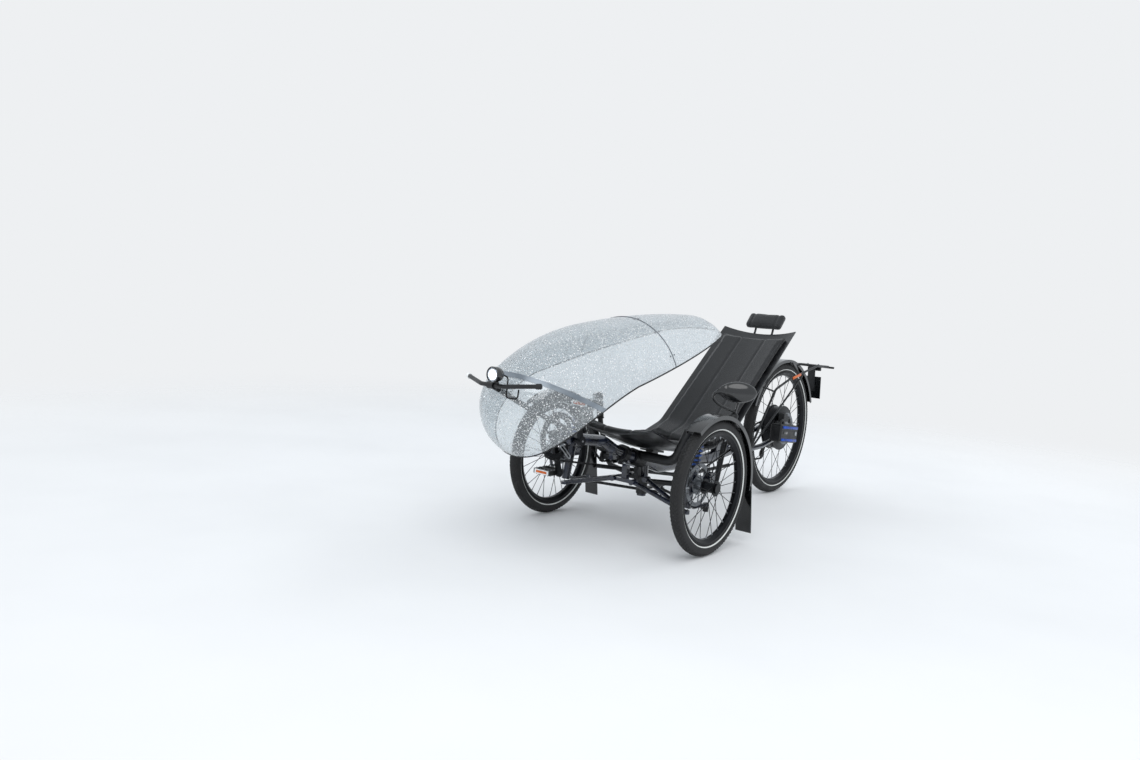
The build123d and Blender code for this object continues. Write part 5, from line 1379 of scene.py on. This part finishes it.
@dataclass
class HandControl:
    """Ribbed grip, lever and its clamp on one upright of the bar.

    Attributes:
        side: Side of the bar.
        foot: Foot of the upright, in millimetres.
        top: Top of the upright, in millimetres.
        lever: Corners of the lever from the clamp: ahead, inward and up, in metres.
        bar_r: Radius of the bar, with the room round it.
        ribs: Number of the grip's ribs.
    """

    side: Side
    foot: Point = (-214.0, 300.0, 372.0)
    top: Point = (-222.0, 330.0, 505.0)
    lever: tuple[Point, ...] = ((0.020, 0.0, -0.010), (0.033, 0.0, -0.009), (0.037, 0.001, -0.052),
                                (0.036, 0.002, -0.086))
    bar_r: float = 0.0114
    ribs: int = 16

    def build(self) -> None:
        """Make the grip, the clamp and the lever."""
        foot, top = self.side.place(self.foot), self.side.place(self.top)
        along = (top - foot).normalized()
        end = (top - foot).length - 0.004
        label = self.side.label
        self.rubber(end).piece(
            f"grip_rubber_{label}", GRIP_RUBBER, "handlebar", "grip_rubber", f"grip_{label}")
        clamp = Shape().lathe([(end - 0.028, self.bar_r), (end - 0.028, 0.0160), (end - 0.020, 0.0170),
                               (end - 0.006, 0.0170), (end, 0.0150), (end, self.bar_r)], foot, along, 32)
        perch = top - along * 0.004
        clamp.block(perch + Vector((0.022, 0, -0.012)), (0.020, 0.015, 0.020))
        clamp.piece(f"lever_clamp_{label}", SATIN_BLACK, "handlebar", "black_metal", bevel_mm=0.8)
        route = [perch + Vector((x, -y * self.side.value, z)) for x, y, z in self.lever]
        lever = Shape().tube(rounded(route, [0.008, 0.03], 0.002), 0.0058, 14, flat=0.62)
        lever.piece(f"lever_{label}", MACHINED, "handlebar", "bare_metal", angle=70)

    def rubber(self, end: float) -> Shape:
        """Ribbed rubber, from a collar above the upright's foot to the clamp."""
        foot, top = self.side.place(self.foot), self.side.place(self.top)
        start = 0.022
        section = [(start, self.bar_r), (start, 0.0150), (start + 0.003, 0.0165), (start + 0.006, 0.0150)]
        first = start + 0.008
        ribbed = end - 0.030 - first
        for i in range(self.ribs):
            a = first + ribbed * i / self.ribs
            section += [(a + ribbed * share / self.ribs, r)
                        for share, r in ((0, 0.0142), (0.45, 0.0142), (0.55, 0.0155), (0.9, 0.0155))]
        section += [(end - 0.0295, 0.0142), (end - 0.029, self.bar_r)]
        return Shape().lathe(section, foot, top - foot, 40)


# Seat

@dataclass
class SeatPad:
    """A padded piece of the seat: swelled by a cloth simulation, then stitched.

    Attributes:
        node: Solid that gives its shape.
        cap: How far a point may move from that shape.
        shrink: How much smaller it starts.
        fill: How tight the pad is.
        voxel: Width of the net's faces, before they are split once more.
        frames: Number of frames that the cloth is blown up for.
    """

    node: str
    cap: float = 0.008
    shrink: float = 0.004
    fill: float = 0.8
    voxel: float = 0.006
    frames: int = 20

    def build(self, nodes: dict[str, Object]) -> None:
        """Swell the pad and put it in the place of its solid.

        Args:
            nodes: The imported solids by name.
        """
        piece = self.start(nodes[self.node])
        self.remesh(piece)
        self.swell(piece)
        self.divide(piece)
        mesh = piece.data
        bpy.data.objects.remove(piece)
        self.smooth(mesh)
        done = adopt(mesh, f"pad_{self.node}", SEAT_MESH, "chassis", "seat_fabric", self.node, angle=180)

    def start(self, node: Object) -> Object:
        """Copy the solid's mesh, merge it and draw it in a little."""
        edit = bmesh.new()
        edit.from_mesh(node.data)
        bmesh.ops.remove_doubles(edit, verts=edit.verts, dist=1e-5)
        bmesh.ops.recalc_face_normals(edit, faces=edit.faces)
        for vert in edit.verts:
            vert.co -= vert.normal * self.shrink
        mesh = bpy.data.meshes.new(self.node)
        edit.to_mesh(mesh)
        edit.free()
        return link(self.node, mesh)

    def remesh(self, piece: Object) -> None:
        """Give the pad an even net of small faces."""
        modifier = piece.modifiers.new("net", "REMESH")
        modifier.mode = "VOXEL"
        modifier.voxel_size = self.voxel
        piece.data = applied(piece)

    def swell(self, piece: Object) -> None:
        """Blow the pad up with cloth and keep every point within the cap."""
        scene = bpy.context.scene
        start = self.points(piece)
        cloth = piece.modifiers.new("cloth", "CLOTH")
        settings = cloth.settings
        settings.quality = 6
        settings.use_pressure = True
        settings.uniform_pressure_force = 4.0
        settings.effector_weights.gravity = 0.0
        cloth.collision_settings.use_collision = False
        cloth.point_cache.frame_start, cloth.point_cache.frame_end = 1, self.frames
        for number in range(1, self.frames + 1):
            scene.frame_set(number)
        piece.data = applied(piece)
        scene.frame_set(1)
        step = self.points(piece) - start
        length = np.linalg.norm(step, axis=1, keepdims=True)
        capped = start + step * np.minimum(1.0, self.cap / np.maximum(length, 1e-9))
        piece.data.vertices.foreach_set("co", capped.astype(np.float32).ravel())

    def points(self, piece: Object) -> np.ndarray:
        """Places of the mesh's points, one row for each."""
        places = np.empty(len(piece.data.vertices) * 3, dtype=np.float32)
        piece.data.vertices.foreach_get("co", places)
        return places.reshape(-1, 3)

    def divide(self, piece: Object) -> None:
        """Split each face of the net once more, so that the stitching has points to move."""
        modifier = piece.modifiers.new("finer", "SUBSURF")
        modifier.levels = modifier.render_levels = 1
        piece.data = applied(piece)

    def smooth(self, mesh: Mesh) -> None:
        """Even out the net's steps and sew the quilting lines into it."""
        edit = bmesh.new()
        edit.from_mesh(mesh)
        for _ in range(4):
            bmesh.ops.smooth_vert(edit, verts=edit.verts, factor=0.5, use_axis_x=True, use_axis_y=True,
                                  use_axis_z=True)
        self.stitch(edit)
        bmesh.ops.recalc_face_normals(edit, faces=edit.faces)
        edit.to_mesh(mesh)
        edit.free()

    def stitch(self, edit: bmesh.types.BMesh) -> None:
        """Press two lengthways channels into the pad's open side."""
        channels, half_width, depth = (-0.062, 0.062), 0.006, 0.0035
        open_side, least = Vector((0.7, 0.0, 1.0)), 0.3
        edit.normal_update()
        for vert in edit.verts:
            if vert.normal.dot(open_side) < least:
                continue
            for y in channels:
                near = (vert.co.y - y) / half_width
                vert.co -= vert.normal * depth * math.exp(-near * near)


@dataclass
class Pedal:
    """Reflectors and grip pins of one pedal.

    Attributes:
        side: Side of the tricycle.
        length: Length of the crank, in millimetres.
        degrees: Turn of the right crank from +X towards +Z.
        offset: Distance of the pedal's middle from the middle plane.
        size: Width of the pedal.
    """

    side: Side
    length: float = 152.0
    degrees: float = 251.0
    offset: float = 115.0
    size: float = 78.0

    def build(self) -> None:
        """Set two reflectors, the pins and the dust cap."""
        turn = math.radians(self.degrees + (180 if self.side is Side.LEFT else 0))
        x, z = CRANK[0] + self.length * math.cos(turn), CRANK[1] + self.length * math.sin(turn)
        y = self.side.value * self.offset
        half = self.size / 2
        body = f"pedal_{self.side.label}"
        for name, way in (("front", 1), ("rear", -1)):
            surround = Shape().block(at(x + way * (half + 0.9), y, z), (0.0026, 0.066, 0.0165))
            surround.piece(f"{body}_surround_{name}", WHITE_CAP, body, "bare_metal", bevel_mm=0.7)
            lens = Shape().block(at(x + way * (half + 2.2), y, z), (0.0022, 0.050, 0.0085))
            lens.piece(f"{body}_reflector_{name}", AMBER_LENS, body, "lens_red", bevel_mm=0.5)
        places = []
        edge, first, pitch, face = half - 4, -27, 18, 9
        for way in (-1, 1):
            for i in range(4):
                run = first + pitch * i
                for up in (-1, 1):
                    places.append((at(x + way * edge, y + run, z + up * face), UP * up))
                    places.append((at(x + run, y + way * edge, z + up * face), UP * up))
        pin = Shape().lathe_solid([(-0.001, 0.0016), (0.0028, 0.0016), (0.0034, 0.001)], Vector(), UP, 8)
        REPEATER.on_points(places, pin, DRAWN_STEEL, f"{body}_pins", body)
        cap = [(0, CORE), (0, 0.0086), (0.002, 0.0082), (0.003, 0.006), (0.0032, CORE)]
        Shape().lathe(cap, at(x, y + self.side.value * half, z), LEFT * self.side.value, 24).piece(
            f"{body}_cap", ANODISED_BLACK, body, "black_metal")


@dataclass
class Battery:
    """Blue rails, lock, gauge and joint lines of the battery case.

    Attributes:
        centre: Middle of the case, in millimetres.
        half_width: Half of the case's width.
        tilt: Lean of the case about Y, in degrees.
    """

    centre: Point = (-1135.0, 118.0, 330.0)
    half_width: float = 29.0
    tilt: float = -6.0

    def lean(self) -> Matrix:
        """Turn of the case."""
        return Matrix.Rotation(math.radians(self.tilt), 3, "Y")

    def spot(self, along: float, past: float, up: float) -> Vector:
        """Point near the case's outer side, in millimetres from the case's middle and that side."""
        return at(*self.centre) + self.lean() @ (Vector((along, self.half_width + past, up)) / 1000)

    def build(self) -> None:
        """Make the rails, the lock, the gauge and the joint lines."""
        self.strips("rails", BLUE_TRIM, "blue_spring", [(0, 0.9, -30), (0, 0.9, 30)],
                    (0.170, 0.0030, 0.012), 0.8)
        lock = [(0, CORE), (0, 0.0105), (0.003, 0.0105), (0.004, 0.0085), (0.004, 0.0035), (0.003, CORE)]
        Shape().lathe(lock, self.spot(-66, -0.4, 4), LEFT, 28).piece(
            "battery_lock", MACHINED, "rear_section", "bare_metal")
        self.strips("gauge", GLOSS_ABS, "lamp_body", [(46, 0.6, 4)], (0.040, 0.0026, 0.012), 0.8)
        self.strips("joints", EDGE_TRIM, "black_plastic", [(0, 0.1, -14), (0, 0.1, 14)],
                    (0.168, 0.0012, 0.0016), 0.0)

    def strips(self, name: str, finish: Finish, slot: str, spots: Sequence[Point], size: Point,
               bevel_mm: float) -> None:
        """Make one piece of equal strips on the case's outer side."""
        shape = Shape()
        for spot in spots:
            shape.block(self.spot(*spot), size, self.lean())
        shape.piece(f"battery_{name}", finish, "rear_section", slot, bevel_mm=bevel_mm)


@dataclass
class RearLamps:
    """Red lens and side reflectors.

    Attributes:
        lens: Middle of the red lens, behind the lamp, in millimetres.
        stay: Middle of the left reflector, on the carrier's stay.
        slope: Rise and run of that stay.
    """

    lens: Point = (-1706.9, 0.0, 625.2)
    stay: Point = (-1292.0, 86.4, 600.2)
    slope: Spot = (62.0, 315.0)

    def build(self) -> None:
        """Set the lens behind its lamp and the two reflectors on the carrier's stays."""
        lens = Shape().block(at(*self.lens), (0.0028, 0.064, 0.0135))
        lens.piece("tail_lens", RED_LENS, "rear_section", "lens_red", bevel_mm=0.8)
        turn = Matrix.Rotation(math.atan2(*self.slope), 3, "Y")
        for side in Side:
            plate = Shape().block(side.place(self.stay), (0.092, 0.0040, 0.013), turn)
            plate.piece(f"side_reflector_{side.label}", AMBER_LENS, "rear_section", "lens_red", bevel_mm=1.0)


@dataclass
class Fasteners:
    """Bolt heads of the joints that show.

    Attributes:
        rows: Place and axis of each head, by body.
    """

    rows: dict[str, list[tuple[Vector, Vector]]] = field(default_factory=dict)

    def add(self, body: str, axis: Vector, *points: Point) -> None:
        """Note bolt heads of a body, at points in millimetres."""
        self.rows.setdefault(body, []).extend((at(*point), axis) for point in points)

    def pair(self, body: str, side: Side, axis: Vector, *points: Point) -> None:
        """Note bolt heads of one side, at the points that the left side would have."""
        self.add(body, axis, *((x, side.value * y, z) for x, y, z in points))

    def build(self) -> None:
        """Lay the heads of each body as one piece."""
        for side in Side:
            out = LEFT * side.value
            self.pair("crank", side, out, (CRANK[0], 70.0, CRANK[1]))
            self.pair("rear_section", side, out, (REAR_AXLE[0], 79.0, REAR_AXLE[1]), (-870.0, 85.0, 262.0))
            self.pair(f"knuckle_{side.label}", side, out, (-76.0, 340.0, 254.0), (-76.0, 340.0, 278.0))
            self.pair("chassis", side, UP,
                      (-45.3, 290.0, 439.0), (-72.0, 262.0, 440.5), (-108.0, 262.0, 440.5))
        self.add("chassis", LEFT, (386.0, 15.0, 434.0))
        self.add("chassis", -LEFT, (386.0, -15.0, 434.0))
        self.add("rear_section", -FORE, *((-512.3, y, z) for y in (-22.0, 22.0) for z in (220.0, 258.0)))
        self.add("rear_section", UP, (-1675.0, -30.0, 649.0), (-1675.0, 30.0, 649.0))
        self.add("chassis", UP, (-448.0, 16.0, 270.0), (-448.0, -16.0, 270.0))
        for body, places in self.rows.items():
            REPEATER.on_points(places, hex_bolt(4.2, 4.0), DRAWN_STEEL, f"bolts_{body}", body)


@dataclass
class Finishes:
    """Solids that keep their own mesh, with the finish of each.

    Attributes:
        rows: A finish and the names of the solids that have it, for each finish.
    """

    rows: tuple[tuple[Finish, str], ...] = (
        (FRAME_PAINT, "main_frame front_boom rear_beam swing_arm wishbone_left wishbone_right knuckle_left "
                      "knuckle_right"),
        (SATIN_BLACK, "cross_boom boom_clamp seat_stays headrest_stem handlebar rack lamp_stem tie_rod_left "
                      "tie_rod_right rear_caliper derailleur battery"),
        (GLOSS_ABS, "fender_left fender_right rear_fender mirror headlamp plate"),
        (ANODISED_BLACK, "wheel_left wheel_right rear_wheel hub_motor crankset"),
        (MACHINED, "fold_pin cassette"),
        (GROUND_STEEL, "disc_left disc_right rear_disc"),
        (MOULDED_NYLON, "chain_idler power_idler pedal_left pedal_right tail_lamp"),
        (SHELL_RESIN, "seat_shell"),
        (FAIRING_SHEET, "fairing_nose fairing_top fairing_tail"),
        (SEAM_STRIP, "fairing_band"),
    )

    def dress(self, nodes: dict[str, Object]) -> None:
        """Give each solid its finish.

        Args:
            nodes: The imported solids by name.
        """
        for finish, names in self.rows:
            for name in names.split():
                mesh = nodes[name].data
                mesh.materials.clear()
                mesh.materials.append(finish.material())
                LOG.info("%s: %s", name, finish.name)


@dataclass
class LampLead:
    """Lead of the headlamp, at its real length, in a loop to the lamp bar.

    Attributes:
        route: Corners of its route, in millimetres.
        radius: Half of its thickness.
        bend: Radius of its bends.
    """

    route: tuple[Point, ...] = ((761.0, 24.0, 638.0), (739.0, 34.0, 627.0), (766.0, 56.0, 566.0),
                                (752.0, 92.0, 566.0), (753.8, 96.0, 595.6))
    radius: float = 0.0025
    bend: float = 0.011

    def build(self) -> None:
        path = rounded([at(*p) for p in self.route], [self.bend] * (len(self.route) - 2), 0.002)
        piece = Shape().tube(path, self.radius, 12).piece(
            "lamp_lead", GRIP_RUBBER, "fairing", "grip_rubber", "lamp_cable", angle=80)


@dataclass
class BrakeHose:
    """Hose from the cross tube to a front brake.

    Attributes:
        side: Side of the tricycle.
        route: Corners of its route on the left, in millimetres.
        radius: Half of its thickness.
        bends: Radius of each bend.
    """

    side: Side
    route: tuple[Point, ...] = ((-74.0, 192.0, 303.0), (-128.0, 222.0, 296.0), (-138.0, 300.0, 318.0),
                                (-92.0, 333.0, 312.0), (-82.0, 333.0, 287.0))
    radius: float = 0.0024
    bends: Point = (0.022, 0.022, 0.014)

    def build(self) -> None:
        corners = [self.side.place(p) for p in self.route]
        path = rounded(corners, self.bends, 0.003)
        piece = Shape().tube(path, self.radius, 10).piece(
            f"brake_hose_{self.side.label}", GRIP_RUBBER, "", "grip_rubber", angle=80)
        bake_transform(piece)


# Picture

@dataclass
class Stage:
    """Pale floor, soft lights, plain surroundings and the camera of the picture.

    Attributes:
        eye: Place of the camera.
        yaw: Turn of the camera's view from +X, in degrees.
        pitch: Rise of that view.
        roll: Lean of the camera.
        lens: Focal length, in millimetres.
        floor_half: Half of the floor's width.
    """

    eye: Point = (3.1442, 1.8716, 0.8700)
    yaw: float = -140.921
    pitch: float = -5.051
    roll: float = 4.296
    lens: float = 26.80
    floor_half: float = 14.0

    def build(self) -> None:
        """Lay the floor and set the lights, the world and the camera."""
        self.floor()
        self.lights()
        self.world()
        self.camera()
        bpy.context.scene.view_settings.view_transform = "Standard"

    def floor(self) -> None:
        """Pale floor that the tricycle stands on, just below the tyres."""
        mesh = new_mesh("floor", [(a * self.floor_half, b * self.floor_half, -0.0005) for a, b in SQUARE],
                        faces=[(0, 1, 2, 3)])
        paint = FadingFloor("painted studio floor", "F2F3F4", "EDEEEF", roughness=0.8, grain_mm=60.0,
                            relief_mm=0.01)
        mesh.materials.append(paint.material())
        link("floor", mesh)

    def lights(self) -> None:
        """A large soft key from the front left, a fill from the right and one from behind."""
        for name, place, target, size, power in (
                ("key", (3.5, 3.0, 4.5), (0.0, 0.0, 0.4), 5.0, 120.0),
                ("fill", (2.5, -4.5, 3.0), (0.0, 0.0, 0.4), 7.0, 40.0),
                ("back", (-4.5, 1.5, 3.5), (0.0, 0.0, 0.5), 5.0, 60.0)):
            data = bpy.data.lights.new(name, "AREA")
            data.shape, data.size, data.energy = "DISK", size, power
            lamp = link(name, data)
            lamp.location = place
            lamp.visible_glossy = name != "back"
            lamp.rotation_euler = (Vector(target) - Vector(place)).to_track_quat("-Z", "Y").to_euler()

    def world(self) -> None:
        """Soft even light all round, seen as a pale backdrop."""
        world = bpy.data.worlds.new("studio")
        world.use_nodes = True
        tree = world.node_tree
        tree.nodes.clear()
        path = add_node(tree, "ShaderNodeLightPath")
        lit = add_node(tree, "ShaderNodeBackground", {"Color": linear("E4E9EE"), "Strength": 0.95})
        seen = add_node(tree, "ShaderNodeBackground", {"Color": linear("EEF0F2"), "Strength": 1.0})
        both = add_node(tree, "ShaderNodeMixShader", links={0: path.outputs["Is Camera Ray"],
                                                            1: lit.outputs[0], 2: seen.outputs[0]})
        add_node(tree, "ShaderNodeOutputWorld", links={"Surface": both.outputs[0]})
        bpy.context.scene.world = world

    def camera(self) -> None:
        """Camera at the picture's place, with its lens and lean."""
        yaw, pitch, roll = (math.radians(v) for v in (self.yaw, self.pitch, self.roll))
        ahead = Vector((math.cos(pitch) * math.cos(yaw), math.cos(pitch) * math.sin(yaw), math.sin(pitch)))
        right = ahead.cross(UP).normalized()
        up = right.cross(ahead)
        across = right * math.cos(roll) + up * math.sin(roll)
        upward = up * math.cos(roll) - right * math.sin(roll)
        data = bpy.data.cameras.new("camera")
        data.lens, data.sensor_width, data.clip_end = self.lens, 36.0, 100.0
        camera = link("camera", data)
        turn = Matrix((across, upward, -ahead)).transposed()
        camera.matrix_world = Matrix.Translation(Vector(self.eye)) @ turn.to_4x4()
        bpy.context.scene.camera = camera


def main() -> None:
    """Dress the tricycle piece by piece, then set the stage."""
    logging.basicConfig(level=logging.INFO, format="%(message)s")
    nodes = frame["nodes"]
    Finishes().dress(nodes)
    for side in Side:
        centre = Vector((SHIFT, side.value * WHEEL_Y, FRONT_R))
        Wheel(side.label, f"wheel_{side.label}", centre, bead_r=0.203, width=0.047, spokes=28,
              stripe_r=0.2144).build()
        foot, head = (Vector((SHIFT + KINGPIN_FOOT - z * KINGPIN_SLOPE, side.value * KINGPIN_Y, z))
                      for z in STRUT_SPAN)
        Spring(f"strut_{side.label}", f"knuckle_{side.label}", f"strut_{side.label}", foot, head).build()
        for part in (HandControl, Pedal, BrakeHose):
            part(side).build()
    Wheel("rear", "rear_wheel", Vector((REAR_X, 0, REAR_R)), bead_r=0.2795, width=0.052, spokes=32,
          stripe_r=0.2955).build()
    front, pin, eye_r = at(-716, 0, 293), at(-860, 0, 325), 0.0126
    rear = pin - (pin - front).normalized() * eye_r
    Spring("rear_spring", "rear_section", "rear_shock", front, rear,
           coil_r=0.020, damper_r=0.010, shaft_r=0.007, seat_low=0.020).build()
    for part in (Drive, BoomFittings, Fairing, Headlamp, LampLead, Mirror, Battery, RearLamps, Fasteners):
        part().build()
    for pad in (SeatPad("seat_cushion"), SeatPad("back_cushion"), SeatPad("headrest", cap=0.006)):
        pad.build(nodes)
    Stage().build()


if __name__ == "__main__":
    main()
